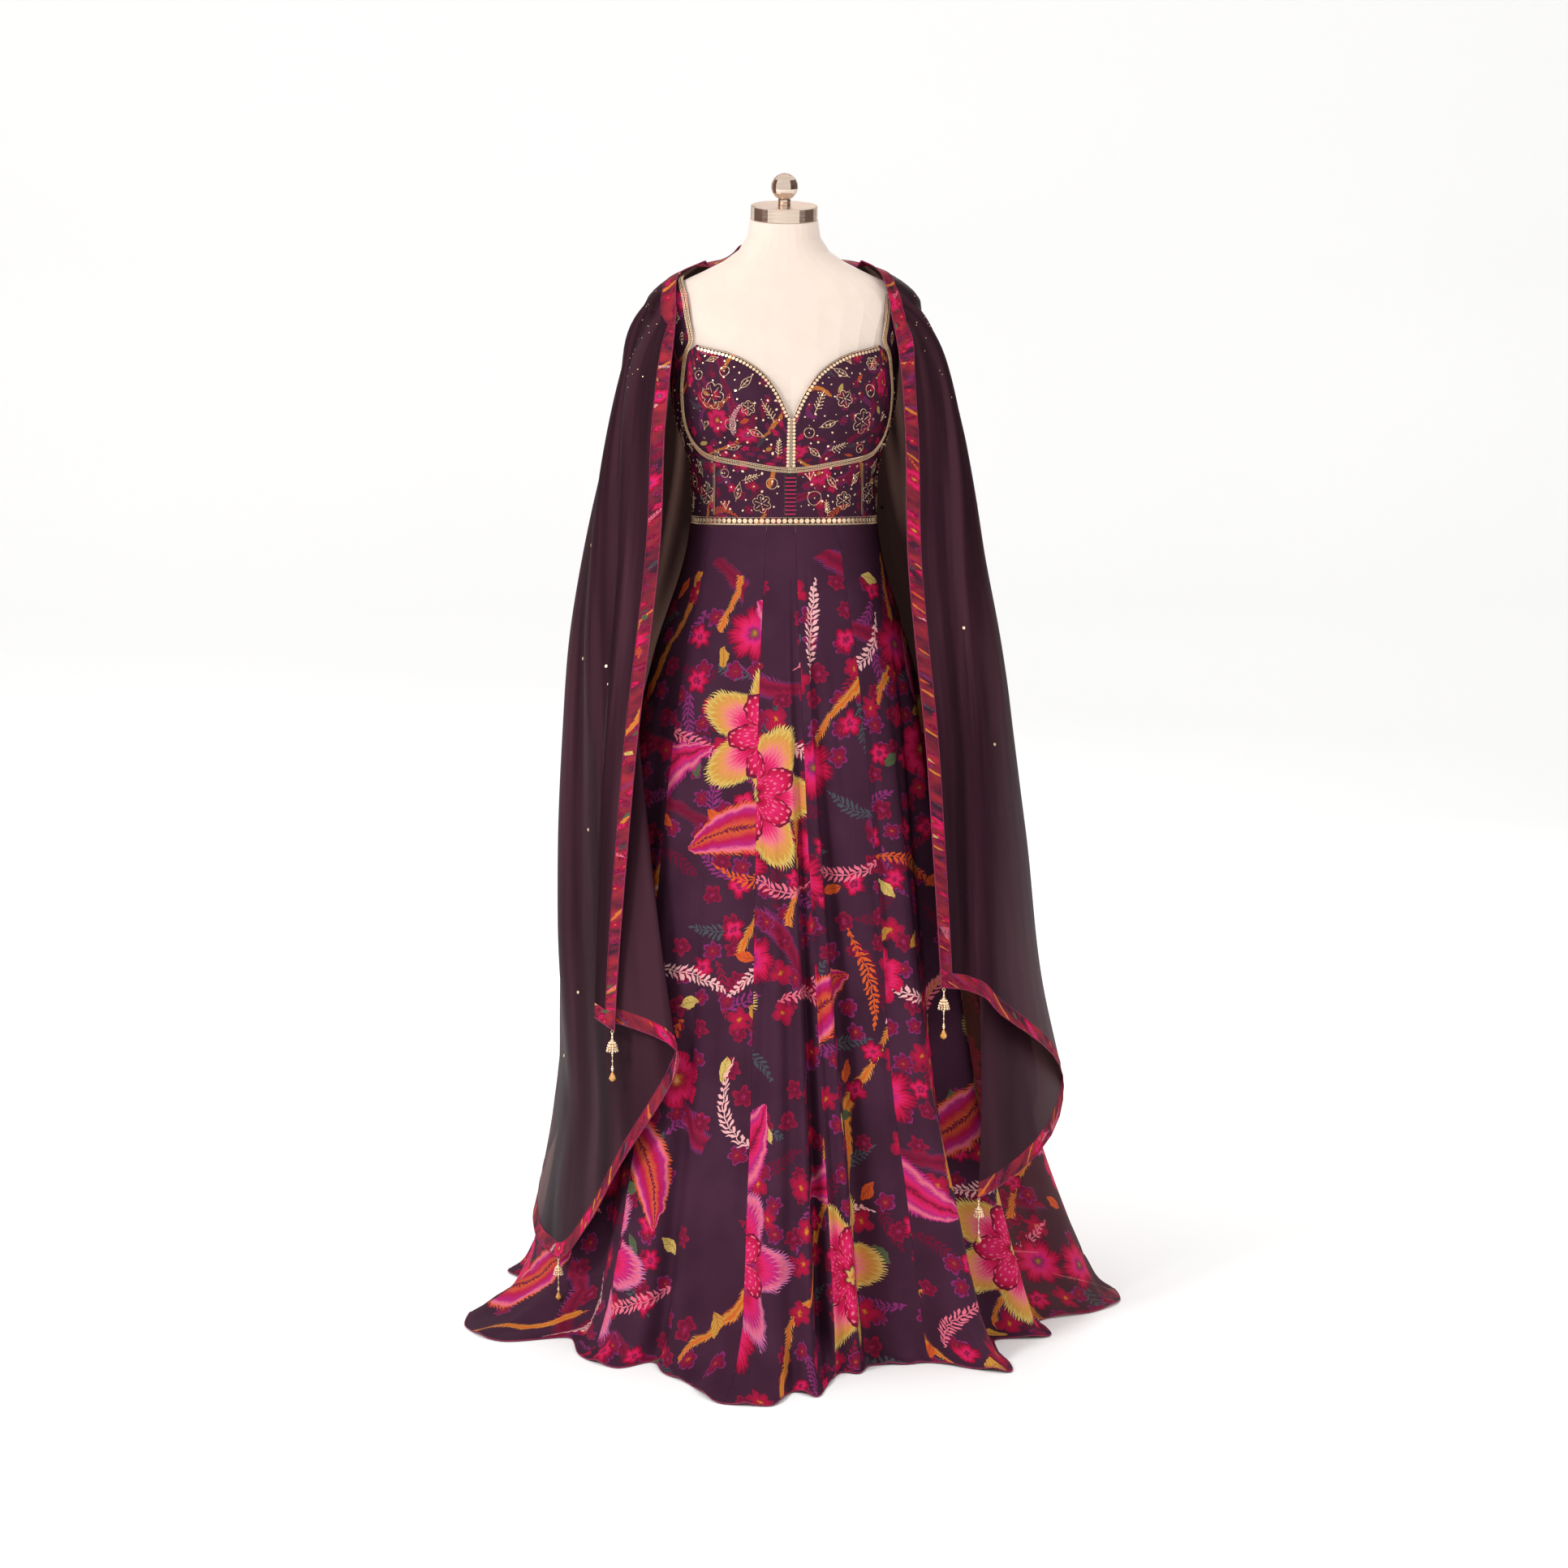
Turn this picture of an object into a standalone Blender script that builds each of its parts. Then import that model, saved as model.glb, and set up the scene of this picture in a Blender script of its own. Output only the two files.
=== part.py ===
# An anarkali gown and its dupatta on a dress form. Metres, +Z up, the gown's front towards -Y.
# Turns are degrees round the pole: 0 is the front, 90 the side at +X, and 180 the back.
import math

import bpy
import numpy as np
from mathutils import Matrix, Vector
from mathutils.bvhtree import BVHTree

# Driving dimensions.
WAIST_Z = 1.150  # seam between the midriff and the skirt
FORM_BOTTOM_Z = 0.800
NECK_TOP_Z = 1.590
NECK_TILT = math.radians(12)  # the neck is cut on a plane that drops to the front
EASE = 0.0035  # between the form and the cloth worn on it
CLOTH = 0.0014  # wall of the gown's cloth
CHIFFON = 0.0010  # wall of the dupatta's cloth
SEAM = 0.0003  # between pieces that are sewn together
TRIM_WIDTH = 0.0080
TRIM_HEIGHT = 0.0016
TRIM_SEAT = 0.0011  # below a trim, so that its straight facets clear the cloth
WAIST_TRIM_SEAT = 0.0011  # the same round the waist
BORDER = 0.020  # width of the dupatta's printed border
FLOOR_Z = 0.060  # below this height the skirt spreads over the floor


def table(names, *rows):
    """Named columns of a table, each as an array."""
    return dict(zip(names.split(), np.array(rows, float).T))


# Horizontal sections of the dress form, general sizes for a small woman's form.
FORM = table(
    "z      half    front   back",
    (0.780, 0.146, 0.096, 0.108),
    (0.860, 0.164, 0.104, 0.124),
    (0.920, 0.170, 0.106, 0.130),
    (0.980, 0.165, 0.105, 0.122),
    (1.040, 0.150, 0.102, 0.104),
    (1.100, 0.134, 0.098, 0.088),
    (1.155, 0.1295, 0.098, 0.081),
    (1.200, 0.1300, 0.101, 0.082),
    (1.245, 0.136, 0.107, 0.086),
    (1.290, 0.150, 0.114, 0.091),
    (1.330, 0.159, 0.116, 0.096),
    (1.370, 0.162, 0.110, 0.100),
    (1.410, 0.167, 0.097, 0.101),
    (1.440, 0.178, 0.082, 0.096),
    (1.465, 0.188, 0.066, 0.082),
    (1.485, 0.173, 0.058, 0.070),
    (1.500, 0.150, 0.054, 0.064),
    (1.515, 0.117, 0.052, 0.060),
    (1.530, 0.087, 0.050, 0.056),
    (1.545, 0.066, 0.049, 0.053),
    (1.565, 0.0530, 0.0485, 0.0510),
    (1.620, 0.0480, 0.0465, 0.0480),
)
FORM_SQUARE = 2.25  # exponent of the sections' outline
CUP_X, CUP_Z, CUP_SPREAD, CUP_DEPTH = 0.074, 1.318, 0.048, 0.020

# The skirt's sections with its folds left out.
SKIRT = table(
    "z      left   right  front  back",
    (0.000, 0.390, 0.460, 0.442, 0.412),
    (0.050, 0.372, 0.452, 0.435, 0.405),
    (0.120, 0.350, 0.424, 0.412, 0.385),
    (0.244, 0.326, 0.380, 0.372, 0.350),
    (0.300, 0.318, 0.366, 0.350, 0.330),
    (0.480, 0.300, 0.320, 0.290, 0.280),
    (0.650, 0.266, 0.271, 0.238, 0.235),
    (0.800, 0.232, 0.230, 0.195, 0.195),
    (0.920, 0.202, 0.198, 0.165, 0.168),
    (0.980, 0.186, 0.181, 0.150, 0.152),
    (1.030, 0.169, 0.166, 0.137, 0.134),
    (1.070, 0.155, 0.153, 0.127, 0.117),
    (1.110, 0.144, 0.143, 0.119, 0.103),
    (1.170, 0.1345, 0.1345, 0.1030, 0.0860),
)

# One row for each ridge or hollow of the skirt. turn is where it meets the floor, top where it
# leaves the waist, fall its distance from the pole at the floor, hem that of its edge, which lies
# on the floor, and begins the height at which it starts to show.
FOLDS = table(
    "turn  top   fall   hem    begins",
    (-178, -178, 0.420, 0.475, 0.95),
    (-167, -168, 0.365, 0.395, 0.98),
    (-156, -158, 0.425, 0.480, 0.92),
    (-145, -148, 0.370, 0.402, 0.97),
    (-133, -136, 0.418, 0.460, 0.90),
    (-123, -126, 0.372, 0.398, 0.95),
    (-112, -116, 0.400, 0.443, 0.88),
    (-102, -106, 0.356, 0.395, 0.95),
    (-86, -94, 0.390, 0.446, 0.90),
    (-71, -82, 0.386, 0.500, 0.80),
    (-61, -74, 0.368, 0.486, 0.85),
    (-55, -68, 0.356, 0.398, 0.98),
    (-44, -60, 0.398, 0.450, 0.92),
    (-35, -48, 0.404, 0.468, 0.62),
    (-31, -40, 0.378, 0.420, 0.70),
    (-26, -32, 0.414, 0.462, 0.80),
    (-20, -25, 0.404, 0.500, 0.34),
    (-13, -18, 0.410, 0.580, 0.36),
    (-7, -11, 0.458, 0.585, 0.80),
    (-3.5, -7, 0.446, 0.520, 0.55),
    (-0.5, -3, 0.462, 0.545, 1.02),
    (1.6, 0, 0.402, 0.500, 1.09),
    (4.2, 3.5, 0.436, 0.448, 0.98),
    (6.0, 5.5, 0.424, 0.436, 0.80),
    (8.2, 7.5, 0.438, 0.446, 0.86),
    (12.5, 10.5, 0.362, 0.412, 1.10),
    (18.5, 24, 0.386, 0.424, 0.62),
    (23.5, 36, 0.404, 0.434, 0.60),
    (27, 45, 0.448, 0.480, 0.85),
    (31, 51, 0.460, 0.528, 0.95),
    (37, 57, 0.405, 0.450, 0.90),
    (44, 63, 0.358, 0.402, 0.99),
    (52, 70, 0.410, 0.452, 0.88),
    (61, 77, 0.374, 0.406, 0.97),
    (71, 84, 0.438, 0.470, 0.92),
    (80, 91, 0.452, 0.502, 0.70),
    (89, 98, 0.446, 0.480, 0.70),
    (100, 106, 0.400, 0.428, 0.96),
    (111, 115, 0.440, 0.486, 0.90),
    (123, 126, 0.384, 0.414, 0.96),
    (135, 138, 0.428, 0.472, 0.90),
    (147, 149, 0.370, 0.400, 0.97),
    (158, 160, 0.424, 0.482, 0.92),
    (170, 170, 0.366, 0.396, 0.98),
)
SKIRT_STEPS = 2  # columns from each fold row to the next
SKIRT_LEVELS = (1.1495, 1.110, 1.060, 1.000, 0.910, 0.800, 0.670, 0.530, 0.390, 0.260, 0.150, 0.060)
# Rows past the floor line: share of the way to the hem, and height over the floor.
SPREAD = table("share height swell", (0.40, 0.016, 0.35), (1.00, CLOTH + 0.0002, 0.0))
# Fold rows that carry the seams between the skirt's eight panels.
PANEL_SEAMS = {
    "skirt_back_left": (0, 5),
    "skirt_side_left": (5, 12),
    "skirt_front_left": (12, 17),
    "skirt_centre_left": (17, 22),
    "skirt_centre_right": (22, 27),
    "skirt_front_right": (27, 33),
    "skirt_side_right": (33, 39),
    "skirt_back_right": (39, 44),
}

# Sections of the space that the dupatta hangs round, without its folds.
CAPE = table(
    "z      left   right  front  back",
    (0.060, 0.368, 0.432, 0.455, 0.420),
    (0.200, 0.350, 0.412, 0.405, 0.372),
    (0.340, 0.329, 0.390, 0.358, 0.342),
    (0.480, 0.330, 0.362, 0.315, 0.306),
    (0.700, 0.325, 0.343, 0.250, 0.252),
    (0.845, 0.315, 0.326, 0.215, 0.215),
    (0.990, 0.303, 0.308, 0.178, 0.180),
    (1.100, 0.287, 0.287, 0.158, 0.152),
    (1.200, 0.270, 0.268, 0.150, 0.138),
    (1.310, 0.247, 0.241, 0.148, 0.130),
    (1.380, 0.230, 0.224, 0.134, 0.126),
    (1.470, 0.205, 0.203, 0.090, 0.110),
)
# One row for each fold of the dupatta, from its left front edge round the back to the right one.
# x, y and z place it on the neck edge. high is its turn at CAPE_HIGH_Z and low at its end, out and
# flare its distance from the section there, and end the height of the hem.
DRAPE = table(
    "x       y       z      high  low   out     flare   end",
    (-0.148, -0.070, 1.446, -58, -44.6, 0.004, 0.046, 0.450),
    (-0.156, -0.038, 1.474, -69, -51, 0.012, 0.046, 0.465),
    (-0.152, -0.022, 1.486, -76, -30.5, -0.008, 0.004, 0.413),
    (-0.144, -0.010, 1.496, -83, -43, 0.002, 0.012, 0.262),
    (-0.133, -0.001, 1.506, -89, -51, -0.004, 0.010, 0.170),
    (-0.120, 0.006, 1.511, -95, -62, 0.004, 0.014, 0.108),
    (-0.104, 0.012, 1.520, -102, -80, -0.004, -0.004, 0.120),
    (-0.088, 0.020, 1.529, -110, -97, 0.006, 0.004, 0.180),
    (-0.073, 0.030, 1.541, -119, -112, -0.004, -0.010, 0.270),
    (-0.060, 0.042, 1.554, -129, -127, 0.005, 0.016, 0.370),
    (-0.046, 0.053, 1.556, -140, -142, -0.004, -0.010, 0.470),
    (-0.030, 0.061, 1.556, -153, -157, 0.005, 0.016, 0.550),
    (-0.012, 0.065, 1.554, -168, -172, -0.004, -0.010, 0.600),
    (0.008, 0.065, 1.554, -183, -186, 0.005, 0.016, 0.610),
    (0.028, 0.062, 1.556, -198, -200, -0.004, -0.010, 0.580),
    (0.044, 0.054, 1.558, -213, -214, 0.005, 0.016, 0.540),
    (0.058, 0.042, 1.557, -226, -228, -0.004, -0.010, 0.480),
    (0.072, 0.028, 1.541, -238, -242, 0.005, 0.014, 0.420),
    (0.087, 0.016, 1.530, -248, -256, -0.004, -0.008, 0.370),
    (0.101, 0.006, 1.522, -256, -272, 0.002, -0.014, 0.340),
    (0.114, -0.005, 1.512, -264, -298, -0.004, -0.016, 0.280),
    (0.124, -0.016, 1.503, -271, -322, -0.010, -0.006, 0.212),
    (0.132, -0.026, 1.490, -279, -282, 0.010, 0.024, 0.322),
    (0.138, -0.036, 1.476, -286, -313, 0.022, 0.040, 0.472),
    (0.144, -0.047, 1.461, -292, -315, 0.006, 0.014, 0.495),
    (0.152, -0.080, 1.413, -303, -324, -0.010, 0.016, 0.507),
)
DRAPE_STEPS = 2
CAPE_HIGH_Z = 1.20
CAPE_TOP_Z = 1.38  # from here up the dupatta is led over the shoulder to its neck edge
CAPE_ON_FORM = 0.013  # clear of the bodice and its trims
NECK_ON_FORM = 0.0021  # where the neck edge lies on the form
NECK_REST_Z = 1.519  # the neck edge lies on the form above this height
CAPE_ON_SKIRT = 0.007
CAPE_BULGE = 0.060  # how far it is rounded out over the point of the shoulder
SHOULDER_SHARES = (0.22, 0.42, 0.61, 0.80, 1.0)
FALL_SHARES = (0.10, 0.21, 0.32, 0.43, 0.54, 0.65, 0.76, 0.87)
LEFT_BACK_FOLD, RIGHT_BACK_FOLD = 8, 18  # fold rows where the falls meet the back stretch
LEFT_CORNER_FOLD, RIGHT_CORNER_FOLD = 5, 21  # fold rows at the lower corners

# The cups: their lower edge from the middle of the front out and up to the strap, and the neckline
# over it. x is across and z is up, and the cloth lies on the form there.
CUP_EDGES = table(
    "low_x   low_z   top_x   top_z",
    (0.0040, 1.2300, 0.0040, 1.3040),
    (0.0300, 1.2330, 0.0110, 1.3210),
    (0.0630, 1.2395, 0.0230, 1.3440),
    (0.1040, 1.2475, 0.0400, 1.3665),
    (0.1230, 1.2585, 0.0630, 1.3840),
    (0.1380, 1.2820, 0.0860, 1.3950),
    (0.1455, 1.3120, 0.1020, 1.3995),
    (0.1475, 1.3500, 0.1180, 1.4040),
    (0.1430, 1.3950, 0.1290, 1.4075),
)
# Edges of the side and back panels. step is the place along the panel, and x, y, z guide the point.
PRINCESS_X = 0.1040
STRAP_EDGE = table(
    "step x       y       z",
    (0, 0.1395, -0.0680, 1.4150),
    (1, 0.1380, -0.0600, 1.4370),
    (2, 0.1385, -0.0490, 1.4560),
    (3, 0.1390, -0.0360, 1.4730),
    (4, 0.1400, -0.0190, 1.4890),
    (5, 0.1410, -0.0006, 1.5015),
)
FRONT_ARMHOLE = table(
    "step x       y       z",
    (0, 0.1295, -0.0004, 1.150),
    (3, 0.1358, -0.0004, 1.245),
    (7, 0.1500, -0.0004, 1.297),
    (11, 0.1600, -0.0004, 1.348),
    (13, 0.1650, -0.0280, 1.392),
    (15, 0.1700, -0.0330, 1.430),
    (17, 0.1740, -0.0210, 1.460),
    (19, 0.1740, -0.0006, 1.483),
)
BACK_NECK = table(
    "step x       y       z",
    (0, 0.0002, 0.0810, 1.150),
    (3, 0.0002, 0.0860, 1.245),
    (6, 0.0002, 0.0960, 1.345),
    (8, 0.0450, 0.0990, 1.372),
    (10, 0.0900, 0.0900, 1.405),
    (12, 0.1200, 0.0700, 1.438),
    (14, 0.1370, 0.0380, 1.472),
    (16, 0.1410, 0.0006, 1.5015),
)
BACK_ARMHOLE = table(
    "step x       y       z",
    (0, 0.1295, 0.0004, 1.150),
    (3, 0.1358, 0.0004, 1.245),
    (6, 0.1600, 0.0004, 1.348),
    (8, 0.1640, 0.0250, 1.385),
    (10, 0.1680, 0.0340, 1.412),
    (12, 0.1715, 0.0350, 1.437),
    (14, 0.1740, 0.0210, 1.463),
    (16, 0.1740, 0.0006, 1.483),
)
PLACKET_HALF = 0.0085
PLACKET_LOOPS = 9

# The bead tassels at the dupatta's corners: height below the cloth and radius, in millimetres.
LATKAN = table(
    "drop  radius",
    (0.0, 1.6),
    (3.0, 2.6),
    (6.5, 1.4),
    (10.0, 1.4),
    (13.0, 5.0),
    (20.0, 8.5),
    (27.0, 9.0),
    (30.0, 3.0),
    (32.0, 1.3),
    (52.0, 1.3),
    (54.0, 3.2),
    (58.0, 1.8),
    (64.0, 5.4),
    (70.0, 5.0),
    (74.0, 0.8),
)
LATKAN_SIDES = 8


def smooth(knots, values, at):
    """Values between the knots, on a curve that passes through each of them."""
    at = np.clip(np.asarray(at, float), knots[0], knots[-1])
    rises = np.diff(values) / np.diff(knots)
    before, after = np.append(rises[0], rises), np.append(rises, rises[-1])
    steepest = 3 * np.minimum(np.abs(before), np.abs(after))
    slopes = np.where(before * after > 0, np.clip(np.gradient(values, knots), -steepest, steepest), 0.0)
    low = np.clip(np.searchsorted(knots, at, side="right") - 1, 0, len(knots) - 2)
    span = knots[low + 1] - knots[low]
    t = (at - knots[low]) / span
    return (
        values[low] * (1 + 2 * t) * (1 - t) ** 2
        + values[low + 1] * t * t * (3 - 2 * t)
        + span * t * (1 - t) * (slopes[low] * (1 - t) - slopes[low + 1] * t)
    )


def ease(t):
    t = np.clip(t, 0.0, 1.0)
    return t * t * (3 - 2 * t)


def section_radius(sections, turn, z):
    """Distance from the pole of a section's outline, in the direction of a turn."""
    across, ahead = np.sin(np.radians(turn)), np.cos(np.radians(turn))
    side = np.where(across < 0, smooth(sections["z"], sections["left"], z), smooth(sections["z"], sections["right"], z))
    depth = np.where(ahead < 0, smooth(sections["z"], sections["back"], z), smooth(sections["z"], sections["front"], z))
    return 1 / np.sqrt((across / side) ** 2 + (ahead / depth) ** 2)


def polar(turn, radius, z):
    turn = np.radians(turn)
    return np.stack([radius * np.sin(turn), -radius * np.cos(turn), z + 0 * radius], axis=-1)


def cup_swell(x, z):
    """How far the bust stands out of the form's sections."""
    return CUP_DEPTH * np.exp(-(((np.abs(x) - CUP_X) / CUP_SPREAD) ** 2) - ((z - CUP_Z) / CUP_SPREAD) ** 2)


def form_level(points):
    """Zero on the form's surface, and negative inside it."""
    x, y, z = points[..., 0], points[..., 1], points[..., 2]
    half = smooth(FORM["z"], FORM["half"], z)
    front = smooth(FORM["z"], FORM["front"], z) + cup_swell(x, z)
    depth = np.where(y < 0, front, smooth(FORM["z"], FORM["back"], z))
    return (np.abs(x) / half) ** FORM_SQUARE + (np.abs(y) / depth) ** FORM_SQUARE - 1


def form_slope(points):
    step = 0.0004
    rises = []
    for axis in range(3):
        shift = np.zeros(3)
        shift[axis] = step
        rises.append((form_level(points + shift) - form_level(points - shift)) / (2 * step))
    return np.stack(rises, axis=-1)


def onto_form(points, gap):
    """The points moved onto the form, then out by gap. Also the directions out of it."""
    points = np.array(points, float)
    for _ in range(24):
        slope = form_slope(points)
        steepness = (slope**2).sum(-1)
        points = points - 0.8 * slope * (form_level(points) / steepness)[..., None]
    out = form_slope(points)
    out = out / np.linalg.norm(out, axis=-1, keepdims=True)
    return points + out * np.asarray(gap)[..., None], out


def clear_of_form(points, gap):
    """The points, with those that are nearer to the form than gap moved out to it."""
    seated, out = onto_form(points, np.full(points.shape[:-1], gap))
    short = ((points - seated) * out).sum(-1) < 0
    return np.where(short[..., None], seated, points)


def material(name, colour, roughness, metallic=0.0):
    made = bpy.data.materials.get(name)
    if made is None:
        made = bpy.data.materials.new(name)
        made.use_nodes = True
        shader = made.node_tree.nodes["Principled BSDF"]
        shader.inputs["Base Color"].default_value = (*colour, 1.0)
        shader.inputs["Roughness"].default_value = roughness
        shader.inputs["Metallic"].default_value = metallic
    return made


def gown_cloth():
    return material("gown_cloth", (0.060, 0.022, 0.048), 0.62)


def bodice_cloth():
    return material("bodice_cloth", (0.050, 0.016, 0.036), 0.70)


def dupatta_chiffon():
    return material("dupatta_chiffon", (0.045, 0.018, 0.032), 0.60)


def border_cloth():
    return material("border_cloth", (0.320, 0.020, 0.070), 0.60)


def gold_beads():
    return material("gold_beads", (0.780, 0.550, 0.230), 0.32, 0.9)


def form_jersey():
    return material("form_jersey", (0.930, 0.820, 0.700), 0.80)


def brushed_metal():
    return material("brushed_metal", (0.720, 0.610, 0.500), 0.28, 1.0)


def add_object(name, points, faces, surface):
    """An object from points and faces, turned so that its faces point out."""
    points = np.asarray(points, float)
    volume = 0.0
    for face in faces:
        for a, b in zip(face[1:-1], face[2:]):
            volume += np.dot(points[face[0]], np.cross(points[a], points[b]))
    if volume < 0:
        faces = [face[::-1] for face in faces]
    mesh = bpy.data.meshes.new(name)
    mesh.from_pydata(points.tolist(), [], [list(face) for face in faces])
    mesh.update()
    mesh.materials.append(surface)
    mesh.shade_smooth()
    mesh.set_sharp_from_angle(angle=math.radians(50))
    made = bpy.data.objects.new(name, mesh)
    bpy.context.scene.collection.objects.link(made)
    return made


def two_sided(name, outer, inner, surface, closed=False):
    """A solid between an outer and an inner grid of points. A closed one joins its last column to its first."""
    rows, columns = outer.shape[:2]
    points = np.concatenate([outer.reshape(-1, 3), inner.reshape(-1, 3)])
    back = rows * columns
    faces = []
    spans = columns if closed else columns - 1
    for r in range(rows - 1):
        for c in range(spans):
            n = (c + 1) % columns
            a, b = r * columns + c, r * columns + n
            d, e = (r + 1) * columns + c, (r + 1) * columns + n
            faces += [(a, b, e), (a, e, d)]
            faces += [(back + a, back + e, back + b), (back + a, back + d, back + e)]
    for c in range(spans):
        n = (c + 1) % columns
        last = (rows - 1) * columns
        faces.append((c, back + c, back + n, n))
        faces.append((last + c, last + n, back + last + n, back + last + c))
    if not closed:
        for r in range(rows - 1):
            a, d = r * columns, (r + 1) * columns
            e, f = a + columns - 1, d + columns - 1
            faces.append((a, d, back + d, back + a))
            faces.append((e, back + e, back + f, f))
    return add_object(name, points, faces, surface)


def unit(vectors):
    return vectors / (np.linalg.norm(vectors, axis=-1, keepdims=True) + 1e-12)


def grid_normals(grid, closed=False):
    """Directions out of a grid that stands round the pole, for moving it by a wall's thickness.

    They are longer than one where the grid is creased, to keep the wall from thinning there."""
    steps = np.diff(grid, axis=1)
    if closed:
        join = grid[:, :1] - grid[:, -1:]
        steps = np.concatenate([join, steps, join], axis=1)
    else:
        steps = np.concatenate([steps[:, :1], steps, steps[:, -1:]], axis=1)
    down = np.gradient(grid, axis=0)
    before, after = (unit(np.cross(side, down)) for side in (steps[:, :-1], steps[:, 1:]))
    out = unit(before + after)
    crease = np.maximum((before * out).sum(-1, keepdims=True), 0.4)
    middle = np.array([0.0, 0.0, 1.0]) * grid[..., 2:3]
    return (-out if ((grid - middle) * out).sum() < 0 else out) / crease


def part_edges(grid, gap, rows=False, columns=True):
    """Draws a panel's side or end rows back by half a seam gap, along its own surface."""
    grid = grid.copy()
    if columns:
        for edge, inside in ((0, 1), (-1, -2)):
            way = grid[:, inside] - grid[:, edge]
            grid[:, edge] += way / np.linalg.norm(way, axis=-1, keepdims=True) * gap / 2
    if rows:
        for edge, inside in ((0, 1), (-1, -2)):
            way = grid[inside] - grid[edge]
            grid[edge] += way / np.linalg.norm(way, axis=-1, keepdims=True) * gap / 2
    return grid


# The dress form.
def make_form():
    levels = (0.800, 0.860, 0.920, 0.980, 1.050, 1.120, 1.180, 1.235, 1.270, 1.300, 1.330, 1.365, 1.400)
    levels += (1.430, 1.455, 1.470, 1.485, 1.500, 1.515, 1.530, 1.545, 1.565, NECK_TOP_Z)
    columns = 32
    rings = []
    for z in levels:
        t = np.arange(columns) * 2 * math.pi / columns
        across, ahead = np.sin(t), np.cos(t)
        half = smooth(FORM["z"], FORM["half"], z)
        back = smooth(FORM["z"], FORM["back"], z)
        front = smooth(FORM["z"], FORM["front"], z)
        power = 2 / FORM_SQUARE
        x = half * np.sign(across) * np.abs(across) ** power
        depth = np.where(ahead > 0, front + cup_swell(x, z), back)
        y = -depth * np.sign(ahead) * np.abs(ahead) ** power
        tilt = math.tan(NECK_TILT) * ease((z - 1.50) / (NECK_TOP_Z - 1.50))
        rings.append(np.stack([x, y, z + y * tilt], axis=-1))
    points = np.concatenate(rings)
    faces = [tuple(range(columns)), tuple(range(len(points) - columns, len(points)))[::-1]]
    for r in range(len(levels) - 1):
        for c in range(columns):
            n = (c + 1) % columns
            a, b = r * columns, (r + 1) * columns
            faces.append((a + c, b + c, b + n, a + n))
    add_object("form_torso", points, faces, form_jersey())


def turned(name, profile, sides, surface, depth=1.0):
    """A solid turned round the Z axis from (radius, height) pairs, both ends closed."""
    rings = []
    for radius, height in profile:
        t = np.arange(sides) * 2 * math.pi / sides
        rings.append(np.stack([radius * np.sin(t), -depth * radius * np.cos(t), height + 0 * t], axis=-1))
    points = np.concatenate(rings)
    faces = [tuple(range(sides)), tuple(range(len(points) - sides, len(points)))[::-1]]
    for r in range(len(profile) - 1):
        for c in range(sides):
            n = (c + 1) % sides
            faces.append((r * sides + c, (r + 1) * sides + c, (r + 1) * sides + n, r * sides + n))
    return add_object(name, points, faces, surface)


def make_form_hardware():
    """Neck cap, collar and ball on the tilted neck, and the pole and base that the form stands on."""
    cap_height, cap_half, cap_depth = 0.0205, 0.0484, 0.0455 / 0.0484
    cap = [(cap_half, 0.0003), (cap_half, cap_height - 0.0015), (cap_half - 0.0015, cap_height)]
    collar_low, collar_high = cap_height + 0.0003, cap_height + 0.0085
    collar = [
        (0.0092, collar_low),
        (0.0092, collar_low + 0.0035),
        (0.0082, collar_low + 0.0042),
        (0.0092, collar_low + 0.0049),
        (0.0092, collar_high),
    ]
    radius = 0.0195
    lift = collar_high + 0.0003 + math.sqrt(radius**2 - 0.0085**2)
    angles = np.radians([-64.2, -45, -25, -5, 15, 35, 55, 73, 86])
    ball = [(radius * math.cos(a), lift + radius * math.sin(a)) for a in angles]
    tilt = Matrix.Rotation(NECK_TILT, 4, "X")
    for made in (
        turned("neck_cap", cap, 32, brushed_metal(), cap_depth),
        turned("finial_collar", collar, 16, brushed_metal()),
        turned("finial_ball", ball, 16, brushed_metal()),
    ):
        made.matrix_world = Matrix.Translation(Vector((0, 0, NECK_TOP_Z))) @ tilt
    base = [(0.140, 0.0), (0.140, 0.008), (0.132, 0.012), (0.036, 0.022), (0.022, 0.030), (0.022, 0.050)]
    turned("stand_base", base, 32, brushed_metal())
    turned("stand_pole", [(0.0125, 0.0503), (0.0125, FORM_BOTTOM_Z - 0.0003)], 16, brushed_metal())


# The skirt.
def around(values, places, step=0.0):
    """A closed table column between its rows, by place in the table. step is what one whole round adds."""
    count = len(values)
    knots = np.arange(-3, count + 4)
    padded = np.array([values[k % count] + step * (k // count) for k in knots])
    return smooth(knots.astype(float), padded, places)


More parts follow.
